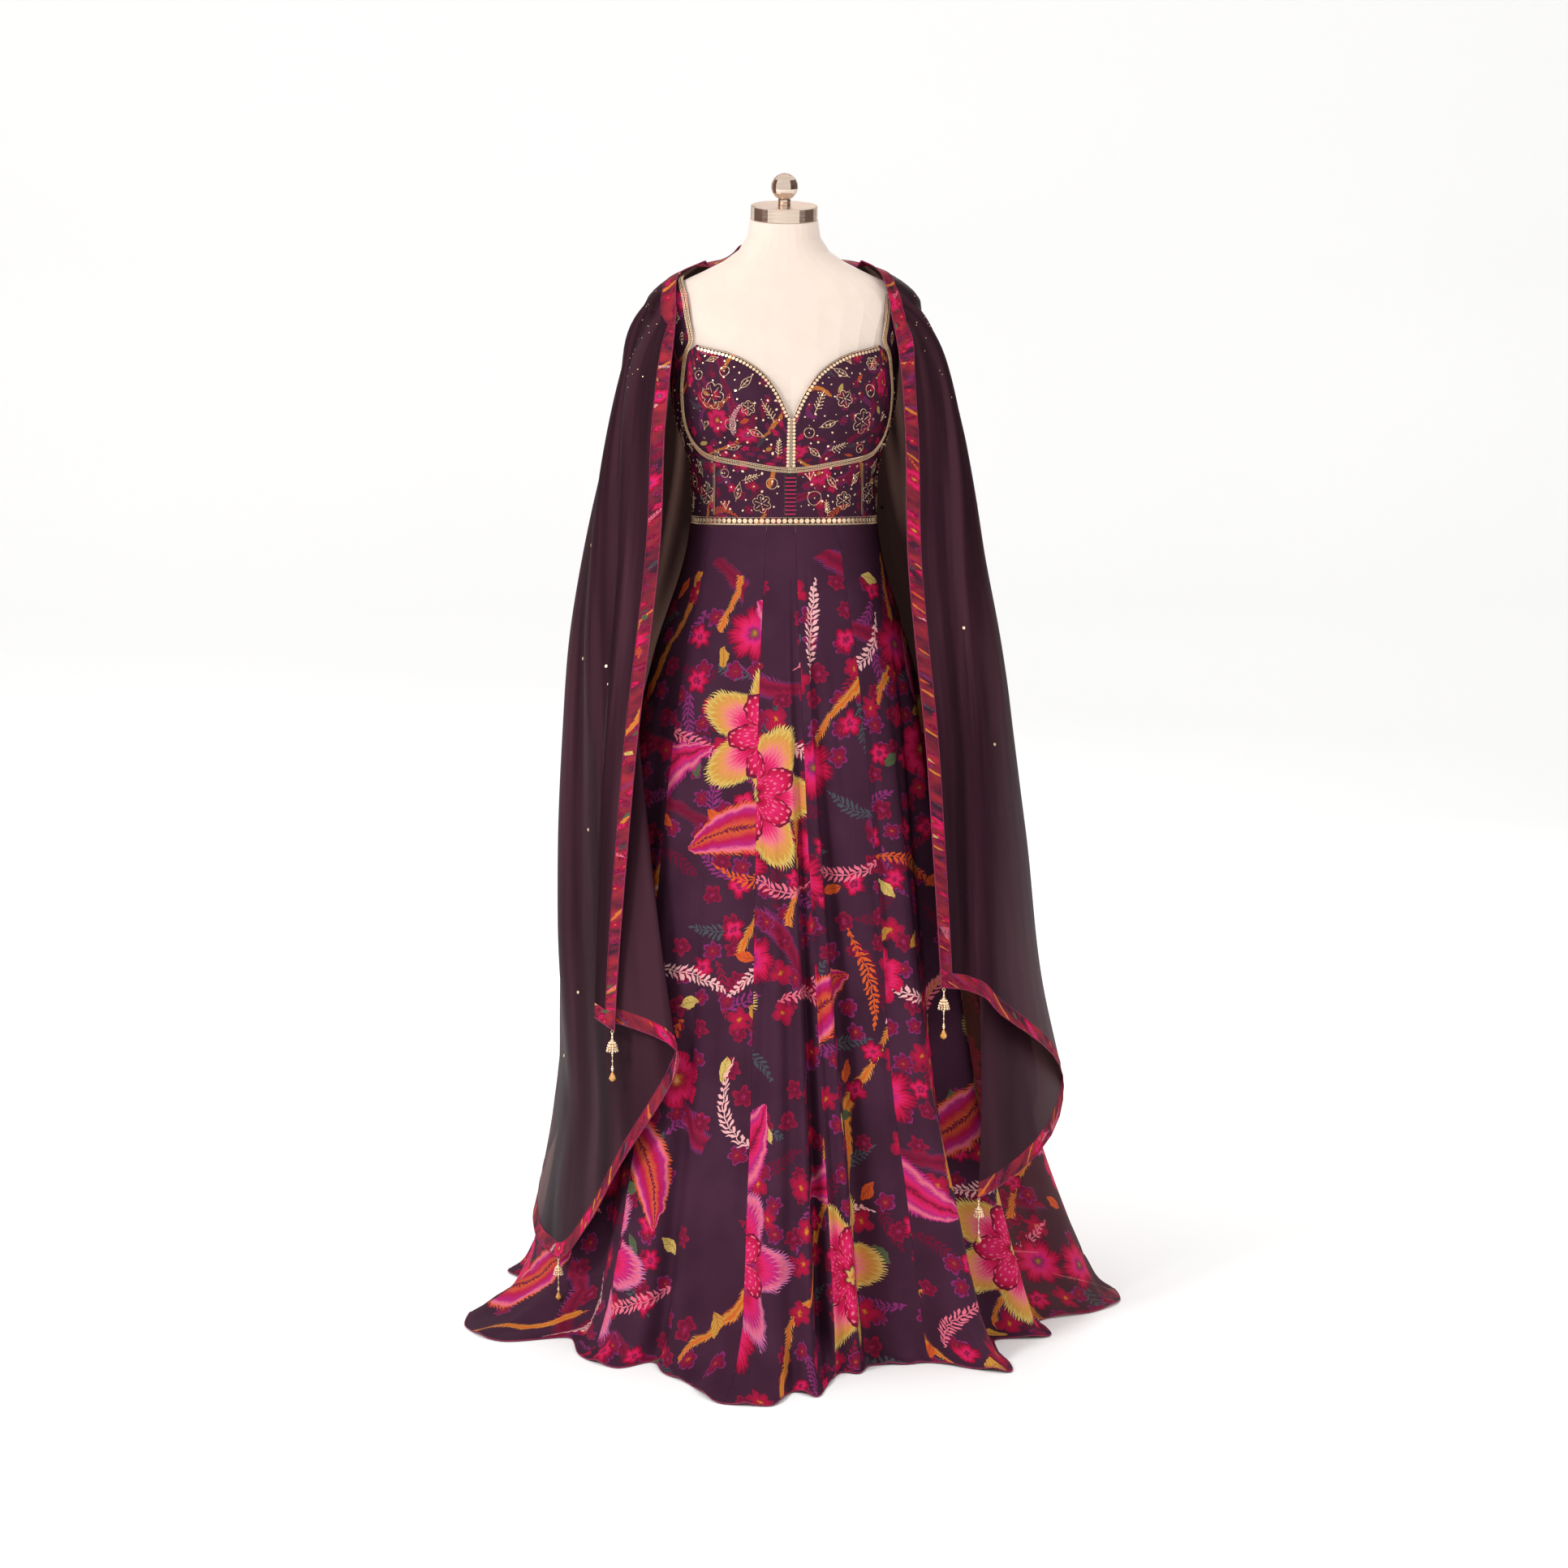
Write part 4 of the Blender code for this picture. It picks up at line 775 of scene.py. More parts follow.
def make_bodice(surface):
    made = []
    for side, word in ((-1, "left"), (1, "right")):
        made.append(worn(f"cloth_cup_{word}", cup_guess(np.arange(0, 8.01, 0.16), 26), side, surface, f"cup_{word}", (0.1 * side, 0.3)))
        low, top = midriff_edges()
        made.append(worn(f"cloth_midriff_{word}", ruled(low, top, 20), side, surface, f"midriff_{word}", (0.2 * side, 0.72)))
        front = ruled_round(princess_line(4), refined(edge_of(FRONT_ARMHOLE, 20), 4), 14).transpose(1, 0, 2)
        made.append(worn(f"cloth_side_{word}", front, side, surface, f"side_front_{word}", (0.5 * side, 0.1)))
        back = ruled_round(refined(edge_of(BACK_NECK, 17), 4), refined(edge_of(BACK_ARMHOLE, 17), 4), 32).transpose(1, 0, 2)
        made.append(worn(f"cloth_back_{word}", back, side, surface, f"back_{word}", (0.8 * side, 0.5)))
    return made


def midriff_edges():
    at = np.arange(0, 3.01, 0.1)
    at[0] = np.interp(PLACKET_HALF + SEAM, (CUP_EDGES["low_x"][0], curve_of(CUP_EDGES, ("low_x",), 0.5)[0]), (0, 0.5))
    at[1:] = np.maximum(at[1:], at[0] + 0.02 * np.arange(1, len(at)))
    top = curve_of(CUP_EDGES, ("low_x", "low_z"), np.minimum(at, 3.0))
    low = np.stack([top[:, 0], np.full(len(at), WAIST_Z + SEAM)], axis=-1)
    return front_guess(low[:, 0], low[:, 1]), front_guess(top[:, 0], top[:, 1])


# Beads, cords and sequins are stamped from small templates into one mesh.
def dome(sides, rings):
    """A small bead of (radius, height) rings that ends in a point on its axis."""
    points, faces = [], []
    for radius, height in rings[:-1]:
        t = np.arange(sides) * 2 * math.pi / sides
        points.append(np.stack([radius * np.cos(t), radius * np.sin(t), height + 0 * t], axis=-1))
    points.append(np.array([[0.0, 0.0, rings[-1][1]]]))
    tip = sides * (len(rings) - 1)
    for r in range(len(rings) - 2):
        for c in range(sides):
            n = (c + 1) % sides
            faces.append((r * sides + c, r * sides + n, (r + 1) * sides + n))
            faces.append((r * sides + c, (r + 1) * sides + n, (r + 1) * sides + c))
    last = tip - sides
    faces += [(last + c, last + (c + 1) % sides, tip) for c in range(sides)]
    return np.concatenate(points), np.array(faces)


SEQUIN = dome(8, [(1.0, 0.0), (0.92, 0.22), (0.45, 0.30), (0.0, 0.16)])
PEARL = dome(6, [(0.80, 0.0), (1.0, 0.45), (0.72, 1.1), (0.0, 1.42)])


class Stamps:
    """Gathers stamped beads and tubes, then makes one piece of them."""

    def __init__(self):
        self.points, self.faces, self.count = [], [], 0

    def add(self, points, faces):
        self.points.append(np.asarray(points, float).reshape(-1, 3))
        self.faces.append(np.asarray(faces).reshape(-1, 3) + self.count)
        self.count += len(self.points[-1])

    def beads(self, template, places, out, way, across, length=None, height=None):
        """Beads at the places, with half sizes across, along the way and out."""
        shape, faces = template
        out = unit(np.asarray(out, float))
        side = unit(np.cross(way, out))
        way = np.cross(out, side)
        across = np.broadcast_to(across, len(places))
        length = across if length is None else np.broadcast_to(length, len(places))
        height = across if height is None else np.broadcast_to(height, len(places))
        points = (
            places[:, None]
            + shape[None, :, 0:1] * (way * length[:, None])[:, None]
            + shape[None, :, 1:2] * (-side * across[:, None])[:, None]
            + shape[None, :, 2:3] * (out * height[:, None])[:, None]
        )
        many = faces[None] + (np.arange(len(places)) * len(shape))[:, None, None]
        self.add(points, many)

    def tube(self, path, radius, sides=5, closed=False):
        """A round cord along a path, which tapers where radius is a list."""
        path = np.asarray(path, float)
        count = len(path)
        if closed:
            way = unit(np.roll(path, -1, axis=0) - np.roll(path, 1, axis=0))
        else:
            way = unit(np.gradient(path, axis=0))
        up = np.where(np.abs(way[:, 2:3]) > 0.9, np.array([[1.0, 0.0, 0.0]]), np.array([[0.0, 0.0, 1.0]]))
        one = unit(np.cross(way, up))
        two = np.cross(way, one)
        t = np.arange(sides) * 2 * math.pi / sides
        ring = one[:, None] * np.cos(t)[None, :, None] + two[:, None] * np.sin(t)[None, :, None]
        points = path[:, None] + ring * np.broadcast_to(radius, count)[:, None, None]
        r, c = np.meshgrid(np.arange(count if closed else count - 1), np.arange(sides), indexing="ij")
        n, after = (c + 1) % sides, (r + 1) % count
        a, b, d, e = r * sides + c, r * sides + n, after * sides + c, after * sides + n
        faces = [np.stack([a, b, e], axis=-1).reshape(-1, 3), np.stack([a, e, d], axis=-1).reshape(-1, 3)]
        if not closed:
            k = np.arange(1, sides - 1)
            end = (count - 1) * sides
            faces.append(np.stack([0 * k, k + 1, k], axis=-1))
            faces.append(np.stack([end + 0 * k, end + k, end + k + 1], axis=-1))
        self.add(points, np.concatenate(faces))

    def piece(self, name, surface, slot, nodes=()):
        made = mesh_object(name, np.concatenate(self.points), np.concatenate(self.faces), surface, sharp=40)
        if nodes:
            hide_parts(*nodes)
        return made


def evenly(path, spacing):
    """Points every spacing along a path."""
    far = np.concatenate([[0.0], np.cumsum(np.linalg.norm(np.diff(path, axis=0), axis=-1))])
    count = max(2, int(round(far[-1] / spacing)) + 1)
    at = np.linspace(0, far[-1], count)
    return np.stack([np.interp(at, far, path[:, axis]) for axis in range(3)], axis=-1)


def seated_path(path, spacing, lift, shift=0.0):
    """A path on the worn cloth, drawn aside by shift, with the directions out of the cloth."""
    middle, out = onto_form(evenly(refined(path, 6), spacing), np.full(1, EASE + CLOTH + lift))
    if shift:
        way = np.gradient(middle, axis=0)
        middle = middle + unit(np.cross(way, out)) * shift
        middle, out = onto_form(middle, np.full(1, EASE + CLOTH + lift))
    return middle, out


def bead_row(stamps, path, template, spacing, half, shift=0.0, lift=0.0002, stretch=1.0, height=None, side=1):
    places, out = seated_path(path, spacing, lift, shift)
    places, out = mirror(places, side), mirror(out, side)
    way = np.gradient(places, axis=0)
    stamps.beads(template, places, out, way, half, half * stretch, half if height is None else height)


def braid(stamps, path, side, width):
    """Gold braid: two edge rows of small beads and two laid chains between them."""
    for share in (-0.5, 0.5):
        bead_row(stamps, path, PEARL, 0.0018, 0.00088, width * share, side=side, height=0.0009)
    for share in (-0.19, 0.19):
        bead_row(stamps, path, PEARL, 0.0026, 0.0009, width * share, side=side, stretch=1.5, height=0.0011)


def make_trims(surface):
    for side, word in ((-1, "left"), (1, "right")):
        stamps = Stamps()
        bead_row(stamps, neckline_path(), SEQUIN, 0.0056, 0.0026, 0.0004, side=side, height=0.0026, lift=0.0004)
        bead_row(stamps, neckline_path(), PEARL, 0.0017, 0.0008, -0.0034, side=side)
        stamps.piece(f"beads_neckline_{word}", surface, "gold_beads", [f"trim_neckline_{word}"])
        stamps = Stamps()
        centre = front_guess(np.full(5, 0.0044), np.linspace(1.2368, 1.3020, 5))
        bead_row(stamps, centre, SEQUIN, 0.0052, 0.0024, side=side, height=0.0026, lift=0.0004)
        bead_row(stamps, centre, PEARL, 0.0017, 0.0007, -0.0030, side=side)
        stamps.piece(f"beads_centre_{word}", surface, "gold_beads", [f"trim_centre_{word}"])
        stamps = Stamps()
        under = cup_low(np.arange(0, 8.1, 0.5))
        under[0, 0] = 0.0005
        strap = edge_of(STRAP_EDGE, 6)
        strap[-1] += (0, -0.003, -0.001)
        strap[:, 0] += (0.001, 0.004, 0.0045, 0.0045, 0.0045, 0.0045)
        braid(stamps, np.concatenate([under, strap]), side, 0.0064)
        stamps.piece(f"beads_princess_{word}", surface, "gold_beads", [f"trim_princess_{word}"])
    stamps = Stamps()
    for height, template, spacing, half, tall in (
        (0.0070, SEQUIN, 0.0081, 0.0037, 0.0030),
        (0.0016, PEARL, 0.0019, 0.0009, 0.0010),
        (0.0028, PEARL, 0.0019, 0.0007, 0.0008),
        (0.0118, PEARL, 0.0024, 0.0006, 0.0007),
    ):
        ring = polar(np.linspace(0, 360, 241), np.full(241, 0.13), WAIST_Z + height)
        ring, _ = onto_form(ring, np.full(1, EASE + CLOTH))
        places = evenly(ring, spacing)[:-1]
        places[:, 2] = WAIST_Z + height
        places, out = onto_form(places, np.full(1, EASE + CLOTH + 0.0003))
        way = np.roll(places, -1, axis=0) - np.roll(places, 1, axis=0)
        stamps.beads(template, places, out, way, half, height=tall)
    stamps.piece("beads_waist", surface, "gold_beads", ["trim_waist"])


# The dupatta.
def cape_rows(reach, places, shoulder_shares, fall_shares):
    """Outer points of the dupatta: rows from its neck edge to its hem, columns round the body."""
    knots = knots_of(DRAPE)
    column = {name: smooth(knots, values, places) for name, values in DRAPE.items()}
    neck = np.stack([column["x"], column["y"], column["z"]], axis=-1)
    shoulder = hanging(column, reach, np.full(len(places), CAPE_TOP_Z))
    way = unit(shoulder[:, :2])
    rise = np.concatenate([0.7 * way, np.full((len(places), 1), 0.75)], axis=-1)
    round_out = CAPE_BULGE * np.abs(np.sin(np.radians(column["high"]))) ** 5
    middle = (neck + shoulder) / 2 + rise * round_out[:, None]
    first = BORDER / (2 * np.linalg.norm(middle - neck, axis=-1))
    rows = []
    for share in (0.0, 0.5, *(1.0 + shoulder_shares)):
        t = (first * min(share, 1.0) + (1 - first) * max(share - 1.0, 0.0))[:, None]
        rows.append(neck * (1 - t) ** 2 + middle * 2 * t * (1 - t) + shoulder * t * t)
    drop = CAPE_TOP_Z - column["end"]
    hem = 1 - BORDER / drop
    for share in fall_shares:
        rows.append(hanging(column, reach, CAPE_TOP_Z - drop * hem * share))
    rows.append(hanging(column, reach, CAPE_TOP_Z - drop * (1 + hem) / 2))
    rows.append(hanging(column, reach, CAPE_TOP_Z - drop))
    return np.array(rows)


def with_edges(grid):
    """The grid with its third columns from each front edge a border's width in from it."""
    made = np.empty_like(grid)
    count = grid.shape[1]
    for r, row in enumerate(grid):
        far = np.concatenate([[0.0], np.cumsum(np.linalg.norm(np.diff(row, axis=0), axis=-1))])
        at = BORDER + (far - far[3]) * (far[-1] - 2 * BORDER) / (far[-4] - far[3])
        at[:4] = BORDER * np.arange(4) / 3
        at[-4:] = far[-1] - BORDER * np.arange(3, -1, -1) / 3
        for axis in range(3):
            made[r, :, axis] = np.interp(at, far, row[:, axis])
    assert made.shape[1] == count
    return made


DRAPE_FINE = 8
HANG_ROUND, HANG_LENGTH = 2.6, 1.3
SHOULDER_FINE = np.linspace(0, 1, 15)
FALL_FINE = np.linspace(0.014, 1, 74)


def fine_cape(reach):
    last = (len(DRAPE["x"]) - 1) * DRAPE_FINE
    grid = with_edges(cape_rows(reach, np.arange(last + 1) / DRAPE_FINE, SHOULDER_FINE, FALL_FINE))
    cleared = np.where(grid[..., 2:] > WAIST_Z, clear_of_form(grid, CAPE_ON_FORM), grid)
    rests = grid[0, :, 2:] > NECK_REST_Z
    cleared[0] = np.where(rests, clear_of_form(grid[0], NECK_ON_FORM), cleared[0])
    cleared[1] = np.where(rests, clear_of_form((cleared[0] + cleared[2]) / 2, NECK_ON_FORM), (cleared[0] + cleared[2]) / 2)
    return creased(rounded_corner(rounded_corner(eased_shoulders(cleared))[:, ::-1])[:, ::-1])


def rounded_corner(grid, reach=24):
    """The cape with the corner between its neck edge and its front edge drawn into one line."""
    line = np.concatenate([grid[0, reach:0:-1], grid[: reach + 1, 0]])
    eased = line.copy()
    for _ in range(220):
        eased[1:-1] += 0.5 * ((eased[:-2] + eased[2:]) / 2 - eased[1:-1])
    move = eased - line
    fade = np.exp(-((np.arange(reach + 1) / 9) ** 2))[:, None]
    down, round_it = move[reach:], move[reach::-1]
    field = down[:, None] * fade[None] + round_it[None] * fade[:, None] - move[reach] * fade[:, None] * fade[None]
    made = grid.copy()
    made[: reach + 1, : reach + 1] += field
    edge = unit(made[4, 0] - made[0, 6])
    inner = made[2, 3] - made[0, 0]
    out = inner - edge * (inner @ edge)
    lack = out / np.linalg.norm(out) * BORDER - out
    r, c = np.meshgrid(np.arange(reach + 1), np.arange(reach + 1), indexing="ij")
    share = np.minimum(r / 2, 1) * np.minimum(c / 3, 1) * np.exp(-((np.maximum(r - 2, 0) / 9) ** 2) - (np.maximum(c - 3, 0) / 9) ** 2)
    made[: reach + 1, : reach + 1] += share[..., None] * lack
    corner = made[: reach + 1, : reach + 1]
    hangs = corner[..., 2:] < NECK_REST_Z - 0.012
    made[: reach + 1, : reach + 1] = np.where(hangs, clear_of_form(corner, CAPE_ON_FORM), corner)
    return made


def eased_shoulders(grid):
    """The cape with its front edges drawn into one curve where they turn over the shoulders."""
    columns = grid.shape[1]
    edge = np.minimum(np.arange(columns), columns - 1 - np.arange(columns))
    rows = np.arange(grid.shape[0])
    share = np.clip((26 - edge) / 16, 0, 1)[None] * np.clip((rows - 3) / 3, 0, 1)[:, None] * np.clip((34 - rows) / 8, 0, 1)[:, None]
    eased = grid.copy()
    for _ in range(60):
        middle = (eased[:-2] + eased[2:]) / 2
        eased[1:-1] += (middle - eased[1:-1]) * share[1:-1, :, None] * 0.5
    return np.where(share[..., None] > 0, clear_of_form(eased, CAPE_ON_FORM), grid)


def make_dupatta(chiffon, border, skirt):
    grid = fine_cape(skirt_reach(skirt))
    count, last = grid.shape[0] - 1, grid.shape[1] - 1
    left_back, right_back = LEFT_BACK_FOLD * DRAPE_FINE, RIGHT_BACK_FOLD * DRAPE_FINE
    left_end, right_end = LEFT_CORNER_FOLD * DRAPE_FINE, RIGHT_CORNER_FOLD * DRAPE_FINE
    whole = flat_map(grid)
    # The hang map: places round and down the dupatta, which the chiffon's painted fold shading and highlights and its
    # sheerness follow.
    rows, columns = np.meshgrid(np.linspace(0, HANG_LENGTH, count + 1), np.linspace(0, HANG_ROUND, last + 1), indexing="ij")
    hang = np.stack([columns, rows], axis=-1)
    stretches = {
        "dupatta_left": (2, count - 2, 3, left_back, chiffon, "dupatta_chiffon"),
        "dupatta_back": (2, count - 2, left_back, right_back, chiffon, "dupatta_chiffon"),
        "dupatta_right": (2, count - 2, right_back, last - 3, chiffon, "dupatta_chiffon"),
        "border_front_left": (0, count - 2, 0, 3, border, "border_cloth"),
        "border_front_right": (0, count - 2, last - 3, last, border, "border_cloth"),
        "border_neck": (0, 2, 3, last - 3, border, "border_cloth"),
        "border_end_left": (count - 2, count, 0, left_end, border, "border_cloth"),
        "border_back": (count - 2, count, left_end, right_end, border, "border_cloth"),
        "border_end_right": (count - 2, count, right_end, last, border, "border_cloth"),
    }
    made = []
    for name, (top, bottom, first, end, surface, slot) in stretches.items():
        pick = np.ix_(range(top, bottom + 1), range(first, end + 1))
        piece = shell(f"cloth_{name}", grid[pick], surface, [name], places=whole[pick], hang=hang[pick])
        made.append((piece, *cut_of(grid[pick])))
    return grid, made


BALL = dome(8, [(0.0, -1.0), (0.72, -0.70), (1.0, 0.0), (0.72, 0.70), (0.0, 1.0)])
DROP = dome(8, [(0.10, -1.0), (0.72, -0.75), (1.0, -0.35), (0.62, 0.30), (0.22, 0.85), (0.0, 1.0)])
DOWN = np.array([0.0, 0.0, -1.0])


def make_latkan(name, node, gold, amber):
    """A bead tassel: ring, thread, a bell of small leaves and beads, a rod, and a drop of amber glass."""
    low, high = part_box(node)
    top = np.array([(low[0] + high[0]) / 2, (low[1] + high[1]) / 2, high[2]])
    scale = (high[2] - low[2]) / 0.074
    mm = scale / 1000

    def hung(stamps, template, drop, radius, out=0.0, turn=0.0, length=None, lean=0.0):
        way = np.array([math.sin(turn), -math.cos(turn), 0.0])
        place = top + DOWN * drop * mm + way * out * mm
        axis = unit(np.array([0.0, 0.0, 1.0]) - way * lean)
        long = radius if length is None else length
        stamps.beads(template, place[None], axis[None], way[None], np.array([radius * mm]), height=np.array([long * mm]))

    stamps = Stamps()
    t = np.linspace(0, 2 * math.pi, 17)[:-1]
    stamps.tube(top + np.stack([1.9 * np.cos(t), 0 * t, -2.3 + 1.9 * np.sin(t)], axis=-1) * mm, 0.5 * mm, closed=True)
    stamps.tube([top + DOWN * 4.0 * mm, top + DOWN * 62 * mm], 0.45 * mm)
    for drop, radius in ((5.4, 1.5), (8.2, 1.2), (10.8, 1.6), (33.0, 1.8), (36.4, 1.2), (44.0, 1.3), (52.0, 1.6), (55.2, 2.3), (58.0, 1.3)):
        hung(stamps, BALL, drop, radius)
    hung(stamps, DROP, 15.5, 4.6, length=4.0)
    for ring, (drop, out, size, many, lean) in enumerate(((18.0, 4.2, 1.5, 8, 0.5), (21.4, 5.6, 1.6, 10, 0.4), (25.0, 6.6, 1.5, 11, 0.3))):
        for k in range(many):
            turn = (k + 0.5 * ring) * 2 * math.pi / many
            hung(stamps, BALL, drop, size, out, turn)
            if ring != 1:
                hung(stamps, DROP, drop + 3.4, 1.3, out + 0.7, turn, 2.6, lean)
    for k in range(5):
        hung(stamps, DROP, 28.0, 1.1, 2.4, k * 2 * math.pi / 5, 3.0, 0.2)
    made = stamps.piece(name, gold, "gold_beads", [node])
    stamps = Stamps()
    hung(stamps, DROP, 66.0, 5.0, length=7.4)
    drop = stamps.piece(name.replace("beads", "drop"), amber, "gold_beads")
    return made, drop


# Embroidery. Each motif is drawn flat, in metres about its middle, then laid on the worn cloth.
def ring_motif(size):
    t = np.linspace(0, 2 * math.pi, 30)
    wave = size * (1 + 0.04 * np.sin(3 * t))
    return [np.stack([wave * np.cos(t), wave * np.sin(t)], axis=-1)], [(0.0, 0.0, 0.0013), (0.0, 1.45 * size, 0.0008)]


def leaf_motif(size):
    t = np.linspace(0, 1, 15)
    bow = 0.36 * size * np.sin(math.pi * t**0.85) * (1 + 0.10 * np.sin(t * 25))
    spine = (t - 0.5) * 1.7 * size
    rib = np.array([(-1.15 * size, 0.0), (0.35 * size, 0.0)])
    lines = [np.stack([spine, bow], axis=-1), np.stack([spine, -bow], axis=-1), rib]
    for start in (-0.35, 0.1):
        for side in (-1, 1):
            lines.append(np.array([(start * size, 0.0), ((start + 0.18) * size, side * 0.16 * size)]))
    return lines, [(0.95 * size, 0.0, 0.0009)]


def bloom_motif(size, petals=6):
    t = np.linspace(0, 2 * math.pi, petals * 9 + 1)
    edge = size * (0.66 + 0.34 * np.abs(np.sin(petals * t / 2)) ** 0.6)
    lines = [np.stack([edge * np.cos(t), edge * np.sin(t)], axis=-1)]
    beads = [(0.0, 0.0, 0.0015)]
    for k in range(petals):
        a = (k + 0.5) * 2 * math.pi / petals
        lines.append(np.array([(r * math.cos(a), r * math.sin(a)) for r in (0.22 * size, 0.62 * size)]))
        beads.append((0.70 * size * math.cos(a), 0.70 * size * math.sin(a), 0.0008))
    return lines, beads


def sprig_motif(size):
    t = np.linspace(-1, 1, 12)
    stem = np.stack([t * size, 0.12 * size * np.sin(1.5 * t)], axis=-1)
    lines, beads = [stem], [(size * 1.08, 0.13 * size, 0.0009)]
    for k, at in enumerate((-0.65, -0.35, -0.05, 0.25, 0.52)):
        root = np.array([at * size, 0.12 * size * math.sin(1.5 * at)])
        for side in (-1, 1):
            tip = root + np.array([0.26, side * (0.34 - 0.03 * k)]) * size
            lines.append(np.array([root, tip]))
            beads.append((tip[0], tip[1], 0.0009))
    return lines, beads


def cherry_motif(size):
    t = np.linspace(0, 1, 8)
    lines, beads = [], []
    for lean in (-0.55, 0.0, 0.6):
        stalk = np.stack([lean * size * t**1.5, size * t], axis=-1)
        lines.append(stalk)
        beads.append((lean * size, 1.08 * size, 0.0014))
    return lines, beads


MOTIFS = {"ring": ring_motif, "leaf": leaf_motif, "bloom": bloom_motif, "sprig": sprig_motif, "cherry": cherry_motif}
MOTIF_SCALE = {"ring": 1.05, "leaf": 1.15, "bloom": 1.22, "sprig": 1.10, "cherry": 1.15}
# The front's motifs: kind, place across, height, size and turn.
FRONT_MOTIFS = (
    ("bloom", -0.108, 1.335, 0.0165, 20),
    ("leaf", -0.064, 1.352, 0.0120, 50),
    ("ring", -0.092, 1.368, 0.0070, 0),
    ("sprig", -0.034, 1.312, 0.0150, 115),
    ("leaf", -0.050, 1.284, 0.0110, -25),
    ("ring", -0.084, 1.296, 0.0080, 0),
    ("leaf", -0.080, 1.264, 0.0105, 190),
    ("cherry", -0.118, 1.288, 0.0100, -20),
    ("sprig", -0.018, 1.262, 0.0120, 80),
    ("bloom", -0.062, 1.318, 0.0085, 0),
    ("cherry", -0.104, 1.260, 0.0085, 200),
    ("ring", -0.126, 1.364, 0.0062, 0),
    ("leaf", -0.108, 1.386, 0.0085, 15),
    ("bloom", -0.040, 1.182, 0.0110, 10),
    ("leaf", -0.072, 1.200, 0.0120, 75),
    ("ring", -0.026, 1.211, 0.0075, 0),
    ("sprig", -0.056, 1.219, 0.0120, 10),
    ("cherry", -0.088, 1.172, 0.0100, 5),
    ("ring", -0.090, 1.226, 0.0060, 0),
    ("bloom", 0.100, 1.300, 0.0150, 5),
    ("leaf", 0.070, 1.366, 0.0115, 150),
    ("ring", 0.112, 1.342, 0.0085, 0),
    ("sprig", 0.040, 1.326, 0.0150, 60),
    ("bloom", 0.074, 1.330, 0.0105, 15),
    ("leaf", 0.052, 1.296, 0.0115, 200),
    ("ring", 0.026, 1.284, 0.0070, 0),
    ("sprig", 0.066, 1.264, 0.0130, 15),
    ("leaf", 0.034, 1.256, 0.0100, -40),
    ("cherry", 0.086, 1.378, 0.0090, 30),
    ("cherry", 0.129, 1.300, 0.0090, -30),
    ("bloom", 0.116, 1.380, 0.0080, 30),
    ("ring", 0.098, 1.262, 0.0060, 0),
    ("ring", 0.034, 1.190, 0.0095, 0),
    ("leaf", 0.058, 1.214, 0.0115, 130),
    ("bloom", 0.076, 1.186, 0.0105, 0),
    ("sprig", 0.052, 1.175, 0.0100, 90),
    ("cherry", 0.028, 1.215, 0.0090, 10),
    ("leaf", 0.093, 1.218, 0.0095, 60),
)
# The same on one side and half of the back, by turn; the other half has them mirrored.
ROUND_MOTIFS = (
    ("bloom", 64, 1.196, 0.0125, 12),
    ("leaf", 68, 1.236, 0.0115, 70),
    ("ring", 77, 1.214, 0.0080, 0),
    ("sprig", 82, 1.180, 0.0115, 95),
    ("cherry", 73, 1.262, 0.0095, 0),
    ("leaf", 82, 1.284, 0.0110, 110),
    ("ring", 75, 1.300, 0.0070, 0),
    ("bloom", 100, 1.262, 0.0125, 0),
    ("leaf", 98, 1.200, 0.0115, 35),
    ("ring", 108, 1.228, 0.0080, 0),
    ("sprig", 118, 1.196, 0.0130, 80),
    ("leaf", 112, 1.296, 0.0110, 130),
    ("bloom", 130, 1.232, 0.0140, 20),
    ("cherry", 103, 1.330, 0.0090, 10),
    ("ring", 142, 1.190, 0.0085, 0),
    ("leaf", 146, 1.262, 0.0120, 60),
    ("sprig", 130, 1.290, 0.0130, 20),
    ("bloom", 160, 1.212, 0.0120, 8),
    ("ring", 158, 1.290, 0.0075, 0),
    ("leaf", 170, 1.250, 0.0110, 100),
    ("cherry", 171, 1.184, 0.0090, 0),
    ("bloom", 148, 1.322, 0.0115, 30),
    ("leaf", 168, 1.318, 0.0110, 20),
    ("ring", 124, 1.345, 0.0075, 0),
    ("leaf", 136, 1.372, 0.0100, 70),
)
STRAP_MOTIFS = ((0.154, -0.058, 1.418, 0.0085), (0.156, -0.038, 1.447, 0.0075), (0.157, -0.014, 1.476, 0.0075), (0.157, 0.022, 1.468, 0.0075), (0.153, 0.052, 1.432, 0.0080))


